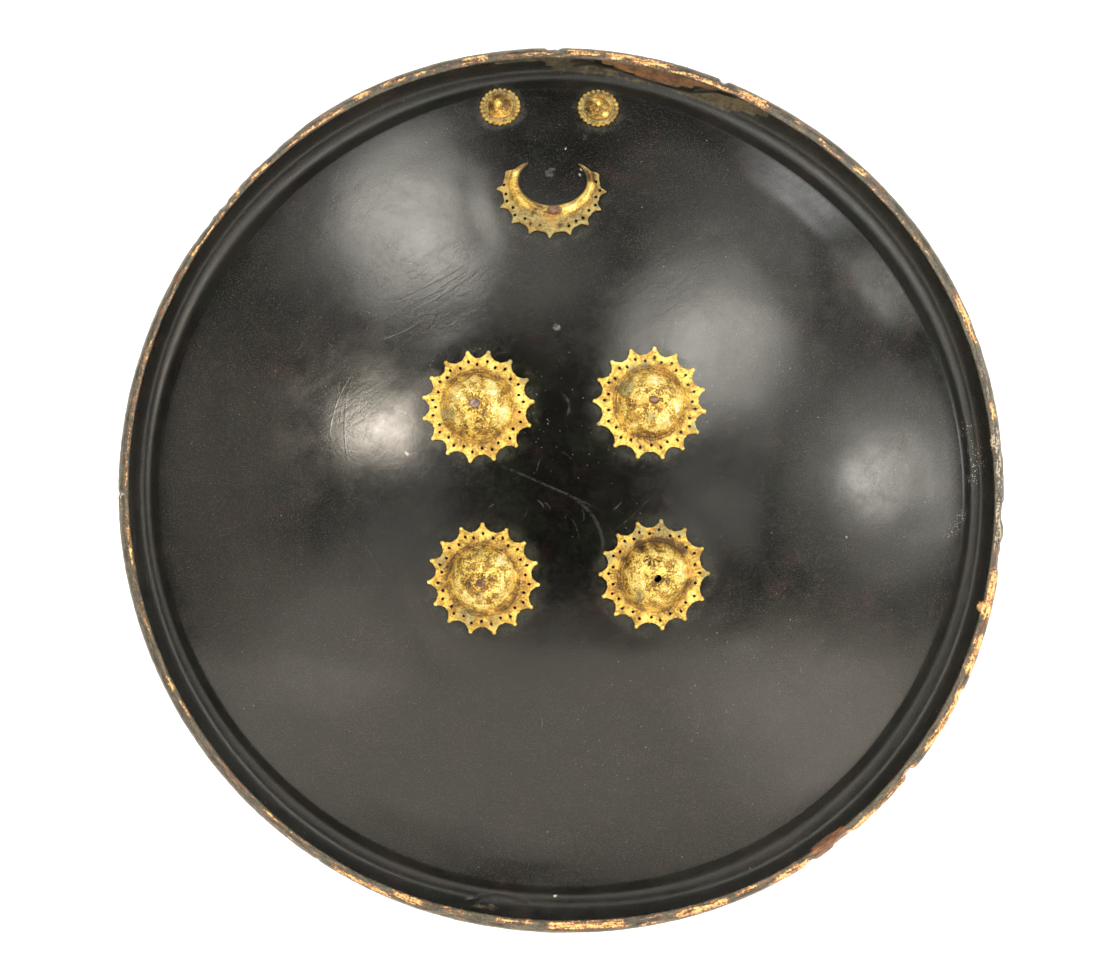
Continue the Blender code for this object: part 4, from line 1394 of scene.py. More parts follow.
@dataclass(frozen=True)
class GiltBrass:
    """Worn fire gilding on engraved brass, with tarnish, grime in the engraving, and painted highlight and
    shade.
    """

    name: str
    seed: float
    cream_and_highlight: Colour = tone(253, 243, 190)
    bright: Colour = tone(244, 220, 120)
    golden: Colour = tone(220, 184, 86)
    ochre: Colour = tone(178, 140, 66)
    brown: Colour = tone(136, 104, 56)
    grime: Colour = tone(84, 64, 36)
    orange: Colour = tone(222, 156, 76)
    green: Colour = tone(150, 148, 108)
    green_dark: Colour = tone(100, 94, 60)
    black: Colour = tone(12, 9, 6)
    lift: float = 0.0

    def material(self) -> bpy.types.Material:
        """Build the finish.

        Returns:
            The material.
        """
        graph = Graph(self.name)
        place = graph.vector("ADD", graph.place(), (self.seed * 0.37, self.seed * 0.11, self.seed * 0.23))
        groove = graph.attribute("groove")
        cloud = graph.noise(place, 60.0, 3.0, 0.5) - 0.5
        patch = graph.noise(place, 190.0, 5.0, 0.62) - 0.5
        fleck = graph.noise(place, 760.0, 4.0, 0.65) - 0.5
        fine = graph.noise(place, 1900.0, 2.0, 0.6) - 0.5

        web = graph.cells(graph.shifted(place, patch * 0.006, fleck * 0.004), 430.0, "DISTANCE_TO_EDGE")
        lines = web.ease(0.13, 0.03) * graph.attribute("carved") * patch.ease(-0.14, 0.06)
        flake = (patch + fleck * 0.35).ease(-0.06, 0.07) * 0.30 - 0.15
        lively = graph.attribute("carved") * 0.45 + 0.55
        value = (flake + patch * 0.75 + fleck * 0.95 + fine * 0.5) * lively + cloud * 0.45
        value = value + graph.attribute("lift") + (0.54 + self.lift)
        # Cream patches lighten the colour: worn bright gilding and painted highlight
        value = value + graph.attribute(Tint.CREAM_AND_HIGHLIGHT.value) * 0.34 + graph.attribute(Tint.YELLOW.value) * 0.16
        # Dark patches and grooves darken the colour: tarnish, grime in the engraving, and painted shade and
        # dark reflection
        value = value - graph.attribute(Tint.DARK.value) * 0.26 - groove * 0.34 - lines * 0.10
        stops = (
            (0.02, self.grime),
            (0.18, self.brown),
            (0.36, self.ochre),
            (0.54, self.golden),
            (0.74, self.bright),
            (0.96, self.cream_and_highlight),
        )
        colour = graph.ramp(value, stops)
        warm = graph.attribute(Tint.ORANGE.value) * 0.6 + cloud * 0.9 + patch * 0.7 + fleck * 0.6
        colour = graph.mix(warm.ease(0.10, 0.80) * 0.65 * value.ease(1.05, 0.7), colour, self.orange)
        bared = graph.attribute(Tint.GREEN.value) * 0.8 + patch * 1.6 + fleck * 1.2 - cloud * 0.5
        bared = bared.ease(0.26, 0.88)
        dull = graph.mix((fleck * 1.4 + patch + 0.5).ease(0.2, 0.9), self.green_dark, self.green)
        colour = graph.mix(bared * 0.75, colour, dull)
        # Black inside the drilled holes is painted shade; black in the petals is their real black filling
        black_fill_and_hole_shade = groove.ease(0.85, 1.0)
        colour = graph.mix(black_fill_and_hole_shade, colour, self.black)
        sheen = 0.36 - value * 0.10 + bared * 0.12 + black_fill_and_hole_shade * 0.4
        relief = fleck * 0.8 + patch * 0.7 + fine * 0.25 - groove * 0.5 - lines * 0.12
        normal = graph.bump(relief, 0.8, 0.0006)
        return graph.finish(
            Base_Color=colour,
            Roughness=sheen,
            Metallic=(0.62 - bared * 0.25) * (1.0 - black_fill_and_hole_shade),
            Normal=normal,
        )


@dataclass(frozen=True)
class PinMetal:
    """The hammered iron or copper of a pin's head."""

    metal: Metal
    light: Colour
    dark: Colour

    def material(self) -> bpy.types.Material:
        """Build the finish.

        Returns:
            The material.
        """
        graph = Graph(self.metal.value)
        place = graph.place()
        patch = graph.noise(place, 260.0, 4.0, 0.6)
        fleck = graph.noise(place, 1100.0, 2.0, 0.5)
        colour = graph.mix((patch + fleck * 0.4).ease(0.5, 0.85), self.light, self.dark)
        normal = graph.bump(patch + fleck * 0.3, 0.5, 0.0005)
        return graph.finish(
            Base_Color=colour, Roughness=0.42 + patch * 0.2, Metallic=1.0 - patch * 0.3, Normal=normal
        )


@dataclass(frozen=True)
class Flower:
    """A chrysanthemum head engraved on a dome, in millimetres and degrees on the dome's plan."""

    x: float
    y: float
    radius: float
    petals: int
    turn: float = 0.0


@dataclass(frozen=True)
class BossPlan:
    """Where one large boss sits, and what is its own."""

    place: str
    centre: Place
    tip_directions: tuple[float, ...]
    reach: float
    head: float | None
    metal: Metal | None
    seed: float
    lift: float = 0.0
    flowers: tuple[Flower, ...] = ()
    fan: Flower | None = None


BOSS_PLANS = (
    BossPlan(
        "upper_left",
        (-0.05105, 0.0513),
        (4, 28, 54, 79, 101, 126, 148, 170, 192, 215, 237, 262, 287, 314, 339),
        0.0350,
        0.0031,
        Metal.IRON,
        1.0,
    ),
    BossPlan(
        "upper_right",
        (0.05375, 0.0534),
        (15, 38, 62, 85, 110, 133, 156, 179, 203, 231, 257, 283, 306, 329, 352),
        0.0352,
        0.0025,
        Metal.COPPER,
        2.0,
    ),
    BossPlan(
        "lower_left",
        (-0.04765, -0.0539),
        (18, 42, 65, 91, 114, 139, 161, 184, 208, 231, 256, 281, 305, 330, 355),
        0.0348,
        0.0025,
        Metal.COPPER,
        3.0,
        -0.05,
    ),
    BossPlan(
        "lower_right",
        (0.05635, -0.0515),
        (1, 28, 56, 83, 108, 132, 155, 178, 202, 225, 251, 279, 305, 333),
        0.0346,
        None,
        None,
        4.0,
        -0.07,
        fan=Flower(-3.4, 12.6, 6.4, 9),
    ),
)


@dataclass
class RosetteBoss:
    """A large boss: a pierced, pointed flange, a band and an engraved hollow dome in one sheet."""

    plan: BossPlan
    sheet: float = 0.0013
    band_outer: float = 0.0231
    band_width: float = 0.0023
    band_rise: float = 0.0009
    groove_width: float = 0.0010
    groove_depth: float = 0.0003
    dome_rise: float = 0.0128
    bore: float = 0.0019
    open_bore: float = 0.00235
    dome_steps: int = 52
    tip_hole_radius: float = 0.0281
    valley_hole_radius: float = 0.0259
    hole_radius: float = 0.00085
    # Radius of the ring of painted shade round the dome
    trough_shade_radius: float = 0.0216
    # Half of a point and of the hollow beside it, in millimetres: sideways, and in from the tip
    edge: tuple[Place, ...] = (
        (0.0, 0.0), (0.7, 0.12), (1.15, 0.6), (1.3, 1.15), (1.3, 1.7), (1.6, 2.35), (2.2, 3.1),
        (2.9, 3.85), (3.7, 4.55), (4.5, 5.05), (5.3, 5.25), (5.9, 5.15), (6.3, 4.8),
    )
    # The same number of places just inside that edge
    inside: tuple[Place, ...] = (
        (0.0, 3.3), (0.25, 3.3), (0.5, 3.3), (0.76, 3.32), (1.0, 3.4), (1.35, 3.75), (1.95, 4.35),
        (2.65, 5.0), (3.5, 5.6), (4.3, 6.0), (5.1, 6.15), (5.75, 6.1), (6.3, 5.9),
    )

    @property
    def seat(self) -> Matrix:
        """Return the boss's frame on the dome."""
        return FORM.seat(*self.plan.centre)

    @property
    def bore_radius(self) -> float:
        """Return the radius of the bore through the crown."""
        return self.bore if self.plan.head else self.open_bore

    def _tips(self) -> list[tuple[float, float, float]]:
        """Return each tip's direction, and half the angle to the tip before and to the next."""
        tips = [math.radians(direction) for direction in self.plan.tip_directions]
        following = tips[1:] + tips[:1]
        return [
            (tip, (tip - tips[index - 1]) % math.tau / 2, (following[index] - tip) % math.tau / 2)
            for index, tip in enumerate(tips)
        ]

    def _spread(self, table: Sequence[Place], height: float) -> np.ndarray:
        """Repeat half a point round the boss, each hollow as wide as its tips are apart.

        Args:
            table: Places along half a point, in millimetres.
            height: Height of the ring.

        Returns:
            The ring's places in the boss's frame.
        """
        ring = []
        for tip, back, ahead in self._tips():
            row = [(-side, inwards, back) for side, inwards in reversed(table[1:-1])]
            row += [(side, inwards, ahead) for side, inwards in table]
            for side, inwards, half in row:
                reach = self.plan.reach - inwards * MILLIMETRE
                offset = side * MILLIMETRE / reach
                limit = table[-1][0] * MILLIMETRE / (self.plan.reach - table[-1][1] * MILLIMETRE)
                loose = ease(np.array(abs(side)), 1.6, 6.3)
                offset *= 1 + (half / limit - 1) * float(loose)
                ring.append((reach * math.cos(tip + offset), reach * math.sin(tip + offset), height))
        return np.array(ring)

    def _circle(self, radius: float, height: float) -> np.ndarray:
        """Return a ring of the same number of places on a circle."""
        spaces = len(self.edge) - 1
        ring = []
        for tip, back, ahead in self._tips():
            steps = [-back * step / spaces for step in range(spaces - 1, 0, -1)]
            steps += [ahead * step / spaces for step in range(spaces + 1)]
            for step in steps:
                ring.append((radius * math.cos(tip + step), radius * math.sin(tip + step), height))
        return np.array(ring)

    def rings(self) -> list[np.ndarray]:
        """Return the closed run of rings, from the bore over the dome to the tips and back below."""
        sheet = self.sheet
        foot_radius = self.band_outer - self.band_width - self.groove_width
        foot = sheet + self.band_rise * 0.3
        rise = self.dome_rise + sheet - foot
        band_inner = self.band_outer - self.band_width
        top = sheet + self.band_rise
        section = cap_section(foot_radius, rise, self.bore_radius, foot, self.dome_steps)
        section += [
            (foot_radius + self.groove_width * 0.5, foot - self.groove_depth),
            (band_inner, foot - self.groove_depth * 0.6),
            (band_inner + 0.0004, top - 0.0002),
            (band_inner + 0.0009, top),
            (self.band_outer - 0.0008, top - 0.0002),
            (self.band_outer - 0.0003, top - 0.0005),
            (self.band_outer, sheet + 0.0001),
        ]
        rings = [self._circle(radius, height) for radius, height in section]
        flange = self._circle(self.band_outer + 0.0003, sheet)
        inside = self._spread(self.inside, sheet)
        edge = self._spread(self.edge, sheet)
        for share in (0.0, 0.25, 0.5, 0.75, 1.0):
            rings.append(flange * (1 - share) + inside * share)
        over = ((0.5, sheet), (0.86, sheet - 0.00008), (1.0, sheet - 0.0004))
        under = ((1.0, 0.00025), (0.86, 0.0), (0.0, 0.0))
        for share, height in over + under:
            ring = inside * (1 - share) + edge * share
            ring[:, 2] = height
            rings.append(ring)
        rings.append(self._circle(foot_radius - 0.0006, 0.0002))
        hollow = cap_section(foot_radius - sheet, rise - sheet, self.bore_radius, foot, 6)
        rings += [self._circle(radius, height) for radius, height in reversed(hollow)]
        return rings

    def engraving(self, places: np.ndarray) -> np.ndarray:
        """Return how deep the engraving is at places in the boss's frame, 0 to 1.

        Args:
            places: The places, one to a row.

        Returns:
            The depth.
        """
        x = places[:, 0] / MILLIMETRE
        y = places[:, 1] / MILLIMETRE
        depth = np.zeros(len(places))
        for flower in self.plan.flowers or self.usual_flowers():
            across = x - flower.x
            up = y - flower.y
            reach = np.hypot(across, up) / flower.radius
            angle = np.arctan2(up, across) - math.radians(flower.turn)
            wave = np.abs(np.sin(angle * flower.petals / 2))
            arc_width = reach * flower.radius * math.pi / flower.petals
            ray = ease(wave * arc_width, 0.42, 0.12) * ease(reach, 0.22, 0.34) * ease(reach, 1.0, 0.86)
            edge = 0.93 + 0.07 * wave
            rim = ease(np.abs(reach - edge) * flower.radius, 0.42, 0.12)
            eye = ease(np.abs(reach - 0.20) * flower.radius, 0.40, 0.12)
            depth = np.maximum(depth, np.maximum(np.maximum(ray, rim), eye))
        reach = np.hypot(x, y)
        angle = np.arctan2(y, x)
        hatch = ease(np.abs(np.sin(angle * 30)) * reach * math.pi / 60, 0.35, 0.1)
        depth = np.maximum(depth * ease(reach, 16.6, 16.0), hatch * ease(reach, 16.6, 17.2) * 0.8)
        kept = ease(swell(places, 120.0, self.plan.seed + 20.0), -0.45, 0.15)
        return depth * ease(reach, 19.3, 18.6) * kept

    def black_petals(self, places: np.ndarray) -> np.ndarray:
        """Return where a fan of petals is still filled with black, 0 to 1."""
        fan = self.plan.fan
        if fan is None:
            return np.zeros(len(places))
        across = places[:, 0] / MILLIMETRE - fan.x
        up = places[:, 1] / MILLIMETRE - fan.y
        reach = np.hypot(across, up) / fan.radius
        angle = np.arctan2(up, across)
        petal = ease(np.sin(angle * fan.petals), 0.0, 0.5) * ease(reach, 0.25, 0.4) * ease(reach, 1.0, 0.85)
        return petal * ease(up, 0.6, -0.4)

    def tip_cover(self, local: np.ndarray) -> np.ndarray:
        """Return how near places are to the knobs at the ends of the points, 0 to 1."""
        cover = np.zeros(len(local))
        middle = self.plan.reach - 0.0011
        for direction in self.plan.tip_directions:
            angle = math.radians(direction)
            away = np.hypot(local[:, 0] - middle * math.cos(angle), local[:, 1] - middle * math.sin(angle))
            cover = np.maximum(cover, ease(away, 0.0016, 0.0005))
        return cover

    def usual_flowers(self) -> tuple[Flower, ...]:
        """Return a head round the crown and a ring of smaller ones."""
        turn = 25.0 * self.plan.seed
        heads = [Flower(0.0, 0.0, 7.6, 18, turn)]
        for index in range(6):
            angle = math.radians(turn + 60 * index)
            heads.append(Flower(12.9 * math.cos(angle), 12.9 * math.sin(angle), 5.3, 14, turn + 60 * index))
        return tuple(heads)

    def holes(self) -> list[Vector]:
        """Return the middle of each hole, one to a tip and one to a hollow."""
        places = []
        tips = self.plan.tip_directions
        for index, tip in enumerate(tips):
            after = tips[(index + 1) % len(tips)] + (360 if index == len(tips) - 1 else 0)
            hollow = (tip + after) / 2
            for direction, radius in ((tip, self.tip_hole_radius), (hollow, self.valley_hole_radius)):
                angle = math.radians(direction + 1.5 * math.sin(direction * 3 + self.plan.seed))
                places.append(Vector((radius * math.cos(angle), radius * math.sin(angle), 0.0)))
        return places

    def pin(self) -> "Pin":
        """Return the pin through the boss's crown."""
        return Pin(
            name="hammered_pin_" + self.plan.place,
            node="boss_pin_" + self.plan.place,
            metal=self.plan.metal,
            seat=self.seat,
            height=self.sheet + self.dome_rise + PIN_STAND,
            head=(self.plan.head * 1.16, self.plan.head * 0.92),
            head_height=0.0015,
            clench=(0.0038, 0.0016),
            seed=self.plan.seed,
        )

    def build(self) -> bpy.types.Object:
        """Model the boss flat, engrave and pierce it, and lay it on the dome.

        Returns:
            The piece.
        """
        piece = Bench.sweep("rosette_" + self.plan.place, self.rings(), around=True)
        Bench.cut(piece, Bench.drills(self.holes(), self.hole_radius, 0.008, 10))
        local = Bench.places(piece)
        reach = np.hypot(local[:, 0], local[:, 1])
        on_top = local[:, 2] > self.sheet * 0.8
        carved = self.engraving(local) * on_top
        inked = self.black_petals(local) * on_top
        swells = swell(local, 160.0, self.plan.seed)
        foot_radius = self.band_outer - self.band_width - self.groove_width
        # Painted shade in the groove round the dome's foot
        gully_shade = ease(np.abs(reach - foot_radius - 0.0005), 0.0012, 0.0003) * on_top
        dome = ease(reach, foot_radius + 0.0004, foot_radius - 0.0008)
        pierced = Bench.near_holes(local, self.holes(), self.hole_radius)
        # The hole walls go black in the finish: painted shade
        groove = np.maximum(np.clip(carved * 0.42, 0, 0.75), np.maximum(pierced, inked * 0.95))
        Bench.mark(piece, "groove", groove)
        tip = self.tip_cover(local)
        light = 0.06 * ease(reach, 0.006, 0.011) * ease(reach, 0.019, 0.016)
        light = light - 0.08 * ease(reach, 0.008, 0.004)
        # Painted shade in the ring round the dome, at the trough
        trough_shade = ease(np.abs(reach - self.trough_shade_radius), 0.0021, 0.0005) * on_top
        trough_shade = trough_shade * (0.85 + 0.3 * swell(local, 60.0, self.plan.seed + 40.0))
        light = light - 0.28 * trough_shade - 0.04 * ease(reach, 0.0165, 0.019) - 0.04 * gully_shade + 0.18 * tip
        light = light - 0.11 * ease(reach, 0.0218, 0.0232) * ease(reach, 0.0272, 0.0240)
        local[:, 2] -= carved * 0.00018 * on_top
        local[:, 2] += swells * 0.00025 * dome + tip * 0.0005 * on_top
        lift = ease(reach, 0.026, 0.035) * (0.0003 + 0.0003 * swells)
        local[:, 2] += lift
        Bench.move(piece, FORM.bend_onto_face(local, self.seat, SEAT_GAP))
        Bench.tint(piece, light, dome)
        Bench.smooth(piece, 50.0)
        return piece


@dataclass
class Pin:
    """A pin through a mount and the hide, with a hammered head and a clenched end."""

    name: str
    node: str
    metal: Metal
    seat: Matrix
    height: float
    head: tuple[float, float]
    head_height: float
    clench: tuple[float, float]
    seed: float
    shank: float = PIN_SHANK
    steps: int = 40

    def build(self) -> bpy.types.Object:
        """Turn the pin, hammer its head and set it on its seat.

        Returns:
            The piece.
        """
        clench_radius, clench_height = self.clench
        tail = -FORM.hide_depth(self.seat, clench_radius) - CLENCH_GAP
        section: Profile = []
        for index in range(9):
            angle = math.radians(90 * index / 8)
            height = self.height + self.head_height * math.cos(angle)
            section.append((self.head[1] * math.sin(angle) ** 0.9, height))
        section += [(self.shank, self.height), (self.shank, tail)]
        section += [(clench_radius * 0.9, tail), (clench_radius, tail - clench_height * 0.35)]
        section += [(clench_radius * 0.85, tail - clench_height * 0.9), (0.0, tail - clench_height)]
        piece = Bench.turn(self.name, section, self.steps)
        local = Bench.places(piece)
        wide = np.hypot(local[:, 0], local[:, 1]) > self.shank + MERGE
        above = local[:, 2] > 0
        local[:, 0] = np.where(wide & above, local[:, 0] * self.head[0] / self.head[1], local[:, 0])
        dents = swell(local, 420.0, self.seed)
        reach = 1 + 0.10 * dents * (wide & above)
        local[:, 0] *= reach
        local[:, 1] *= reach
        local[:, 2] += np.where(above & (local[:, 2] > self.height + 0.0002), dents * 0.00022, 0.0)
        turn = np.array(self.seat.to_3x3())
        Bench.move(piece, local @ turn.T + np.array(self.seat.translation))
        Bench.smooth(piece, 50.0)
        return piece


@dataclass(frozen=True)
class SmallBossPlan:
    """Where one small boss sits."""

    node: str
    direction: float
    inset: float
    seed: float


SMALL_BOSS_PLANS = (
    SmallBossPlan("small_boss_left", 99.1, 0.0355, 5.0),
    SmallBossPlan("small_boss_right", 84.5, 0.0385, 6.0),
)


@dataclass
class SmallBoss:
    """A small boss: a toothed plate, a fluted dome and a knob on a stem through the hide."""

    plan: SmallBossPlan
    radius: float = 0.0131
    teeth: int = 24
    tooth_depth: float = 0.0011
    sheet: float = 0.0011
    dome_radius: float = 0.0080
    dome_rise: float = 0.0045
    knob_radius: float = 0.0018
    knob_rise: float = 0.0014
    stem: float = 0.0014
    clench: float = 0.0024
    flutes: int = 11
    tooth_steps: int = 8

    @property
    def seat(self) -> Matrix:
        """Return the boss's frame on the dome."""
        return FORM.seat(*FORM.polar_place(self.plan.direction, self.plan.inset))

    def rings(self) -> list[np.ndarray]:
        """Return the run of rings from the knob's top to the clenched end."""
        count = self.teeth * self.tooth_steps
        angles = np.arange(count) / count * math.tau
        sheet = self.sheet
        crown = sheet + self.dome_rise
        section: Profile = []
        for index in range(1, 6):
            angle = math.radians(90 * index / 5)
            section.append((self.knob_radius * math.sin(angle), crown + self.knob_rise * math.cos(angle)))
        section.append((self.knob_radius * 0.86, crown - 0.0003))
        foot = sheet * 0.7
        section += cap_section(self.dome_radius, crown - 0.0003 - foot, self.knob_radius * 0.9, foot, 12)[1:]
        section += [
            (self.dome_radius + 0.0004, sheet * 0.8),
            (self.dome_radius + 0.0009, sheet * 0.85),
            (self.dome_radius + 0.0013, sheet + 0.0003),
            (self.dome_radius + 0.0019, sheet + 0.0004),
            (self.dome_radius + 0.0024, sheet),
            (self.radius - self.tooth_depth - 0.0010, sheet * 0.9),
        ]
        rings = [self._ring(angles, radius, height) for radius, height in section]
        phase = np.abs(np.cos(angles * self.teeth / 2))
        edge = self.radius - self.tooth_depth * (1 - phase**0.7)
        for share, height in ((0.94, sheet), (1.0, sheet * 0.6), (1.0, sheet * 0.15), (0.96, 0.0)):
            rings.append(self._ring(angles, edge * share, height))
        tail = -FORM.hide_depth(self.seat, self.clench) - CLENCH_GAP - SEAT_GAP
        under = [(self.dome_radius, 0.0), (self.stem, sheet * 0.3), (self.stem, tail)]
        under += [(self.clench * 0.9, tail), (self.clench, tail - sheet * 0.4)]
        under.append((self.clench * 0.7, tail - sheet))
        rings += [self._ring(angles, radius, height) for radius, height in under]
        return rings

    @staticmethod
    def _ring(angles: np.ndarray, radius: np.ndarray | float, height: float) -> np.ndarray:
        """Return places at angles, radii and a height."""
        return np.stack(
            [radius * np.cos(angles), radius * np.sin(angles), np.full(len(angles), height)], axis=1
        )

    def build(self) -> bpy.types.Object:
        """Model the boss and lay it on the dome.

        Returns:
            The piece.
        """
        piece = Bench.sweep("toothed_" + self.plan.node, self.rings(), around=False)
        local = Bench.places(piece)
        reach = np.hypot(local[:, 0], local[:, 1])
        angle = np.arctan2(local[:, 1], local[:, 0])
        above = local[:, 2] > self.sheet * 0.7
        on_dome = ease(reach, self.knob_radius * 0.6, self.knob_radius * 1.4)
        on_dome = on_dome * ease(reach, self.dome_radius, self.dome_radius - 0.0012) * above
        flute = 0.5 + 0.5 * np.cos(angle * self.flutes + 1.2 * swell(local, 300.0, self.plan.seed))
        gully_shade = ease(np.abs(reach - self.dome_radius - 0.0006), 0.0010, 0.0003) * above
        local[:, 2] += (swell(local, 330.0, self.plan.seed) * 0.00045 - flute * 0.0002) * on_dome
        bead = (0.5 + 0.5 * np.cos(angle * self.teeth)) * above
        inset = self.radius - reach
        bead = bead * ease(inset, 0.0026, 0.0017) * ease(inset, 0.0, 0.0006)
        local[:, 2] += bead * 0.0004
        plate = ease(reach, self.dome_radius, self.dome_radius + 0.0008) * ease(inset, 0.0016, 0.0026)
        teeth = ease(inset, 0.0030, 0.0020) * above * (1 - bead)
        Bench.mark(piece, "groove", np.clip(flute * on_dome * 0.12 + teeth * 0.30, 0, 0.8))
        # The gully round the dome's foot is painted shade
        light = 0.10 * bead - 0.14 * plate - 0.10 * on_dome - 0.12 * gully_shade - 0.15
        Bench.move(piece, FORM.bend_onto_face(local, self.seat, SEAT_GAP))
        Bench.tint(piece, light, on_dome * 0.25, 0.90 * plate + 0.70 * bead)
        Bench.smooth(piece, 50.0)
        return piece


@dataclass
class Crescent:
    """The crescent mount: a raised inner band, and a pierced flange with pointed ends."""

    direction: float = 91.9
    edge_distance: float = 0.0925
    tip_radii: Place = (0.0342, 0.0333)
    point_depth: float = 0.0042
    points: int = 11
    pitch: float = 22.1
    middle_point: float = 268.0
    opening_shift: Place = (0.0007, 0.0056)
    opening_radii: Place = (0.0215, 0.0169)
    sheet: float = 0.0012
    ridge_width: float = 0.0092
    ridge_rise: float = 0.0026
    horn_share: float = 0.30
    horn_bluntness: float = 0.06
    ridge_end_share: float = 0.45
    ridge_most: float = 0.65
    rivet_direction: float = 273.0
    steps_a_point: int = 16
    hole_radius: float = 0.00092
    band_lines: float = 0.00022
    line_pitch: float = 0.0027
    # Pixels of the picture at which the open holes and the blocked ones show
    open_holes: tuple[Place, ...] = (
        (504, 186), (506, 195), (507, 202), (513, 208.5), (515, 216), (525, 219.5), (569, 227), (576, 222),
        (583, 219), (589, 211.5), (595.5, 206), (596, 198), (600, 191.5), (596, 183),
    )
    blocked_holes: tuple[Place, ...] = ((506, 179.5), (530.5, 225), (540.5, 226), (549, 229.5), (560, 226.5))

    @property
    def seat(self) -> Matrix:
        """Return the crescent's frame on the dome."""
        return FORM.seat(*FORM.polar_place(self.direction, self.edge_distance))

    def rivet(self) -> Pin:
        """Return the rivet through the middle of the raised band."""
        angle = math.radians(self.rivet_direction)
        inner = self._ellipse(self.opening_shift, self.opening_radii, angle)
        outer = self._ellipse((0.0, 0.0), self.tip_radii, angle)
        place = inner + (outer - inner).normalized() * self.ridge_width / 2
        foot = FORM.bend_onto_face(np.array([[place.x, place.y, 0.0]]), self.seat, 0.0)[0]
        return Pin(
            name="flattened_rivet",
            node="crescent_rivet",
            metal=Metal.COPPER,
            seat=FORM.seat(float(foot[0]), float(foot[1])),
            height=self.sheet + self.ridge_rise + PIN_STAND,
            head=(0.0046, 0.0029),
            head_height=0.0011,
            clench=(0.0032, 0.0013),
            seed=8.0,
        )

    @staticmethod
    def _ellipse(centre: Place, radii: Place, angle: float) -> Vector:
        """Return a point of an ellipse."""
        return Vector((centre[0] + radii[0] * math.cos(angle), centre[1] + radii[1] * math.sin(angle)))

    def _edges(self, share: float) -> tuple[Vector, Vector, float]:
        """Return the inner and outer edge at a share of the length, and the fullness there."""
        spaces = self.points + 1
        angle = math.radians(self.middle_point + self.pitch * spaces * (share - 0.5))
        fullness = math.sin(math.pi * share)
        taper = min(1.0, fullness / self.horn_share) ** 0.75
        phase = abs((share * spaces + 0.5) % 1.0 - 0.5) * 2
        wave = self._point_shape(phase)
        from_horn = min(share, 1 - share) * spaces
        if from_horn < 0.55:
            wave = 0.0
        wave *= 0.5 + 0.5 * float(ease(np.array(from_horn), 1.15, 1.5))
        radii = [radius - self.point_depth * (1 - wave) for radius in self.tip_radii]
        inner = self._ellipse(self.opening_shift, self.opening_radii, angle)
        full = self._ellipse((0.0, 0.0), (radii[0], radii[1]), angle)
        if from_horn < 0.98:
            taper *= 0.62 + 0.38 * float(ease(np.array(from_horn), 0.78, 0.98))
        outer = inner.lerp(full, self.horn_bluntness + (1 - self.horn_bluntness) * taper)
        return inner, outer, fullness

    @staticmethod
    def _point_shape(phase: float) -> float:
        """Return how far out the edge is, from 0 in a hollow's middle to 1 at a tip."""
        away = min(phase, 2 - phase)
        stations = (0.0, 0.07, 0.15, 0.19, 0.32, 0.55, 0.80, 1.0)
        heights = (1.0, 0.97, 0.72, 0.55, 0.30, 0.12, 0.06, 0.10)
        return float(np.interp(away, stations, heights))

    def section(self, share: float) -> np.ndarray:
        """Return the closed section at a share of the length from horn to horn."""
        inner, outer, fullness = self._edges(share)
        width = (outer - inner).length
        ridge = self.ridge_width * (self.ridge_end_share + (1 - self.ridge_end_share) * fullness)
        ridge = min(ridge, width * self.ridge_most)
        rise = self.ridge_rise * min(1.0, ridge / self.ridge_width + self.horn_share)
        along = (outer - inner).normalized()
        sheet = self.sheet
        places = [(0.0, 0.0), (0.0, sheet * 0.7), (ridge * 0.04, sheet)]
        for index in range(17):
            step = 0.10 + 0.80 * index / 16
            line = self.band_lines * math.cos(math.tau * 3 * (step - 0.5)) * rise / self.ridge_rise
            places.append((ridge * step, sheet + rise * math.sin(math.pi * step) ** 0.8 + line))
        rest = width - ridge
        places += [(ridge, sheet + 0.0001), (ridge + rest * 0.06, sheet - 0.0002)]
        places.append((ridge + rest * 0.14, sheet))
        places += [(ridge + rest * step, sheet) for step in (0.35, 0.55, 0.75, 0.9)]
        places += [(width - 0.0002, sheet * 0.95), (width, sheet * 0.7), (width, sheet * 0.15)]
        places += [(width - 0.0002, 0.0), (width * 0.5, 0.0)]
        return np.array([(*(inner + along * run), height) for run, height in places])

    def holes(self, pixels: Sequence[Place], height: float) -> list[Vector]:
        """Return the middle of each hole that shows at a pixel, at a height in the crescent's frame."""
        inwards = self.seat.inverted()
        places = []
        for pixel in pixels:
            x, y = Scratch.on_dome(pixel)
            local = inwards @ Vector((x, y, float(FORM.face_height(x, y))))
            places.append(Vector((local.x, local.y, height)))
        return places

    def build(self) -> bpy.types.Object:
        """Loft the crescent, pierce it and lay it on the dome.

        Returns:
            The piece.
        """
        count = self.steps_a_point * (self.points + 1)
        rings = [self.section(index / count) for index in range(count + 1)]
        piece = Bench.sweep("pierced_crescent", rings, around=False)
        depth = 0.004
        open_holes = self.holes(self.open_holes, 0.0)
        blocked = self.holes(self.blocked_holes, self.sheet - 0.0004 + depth)
        Bench.cut(piece, Bench.drills(open_holes, self.hole_radius, 2 * depth, 12))
        Bench.cut(piece, Bench.drills(blocked, self.hole_radius, 2 * depth, 12))
        local = Bench.places(piece)
        pierced = Bench.near_holes(local, open_holes, self.hole_radius)
        filled = Bench.near_holes(local, blocked, self.hole_radius) * 0.8
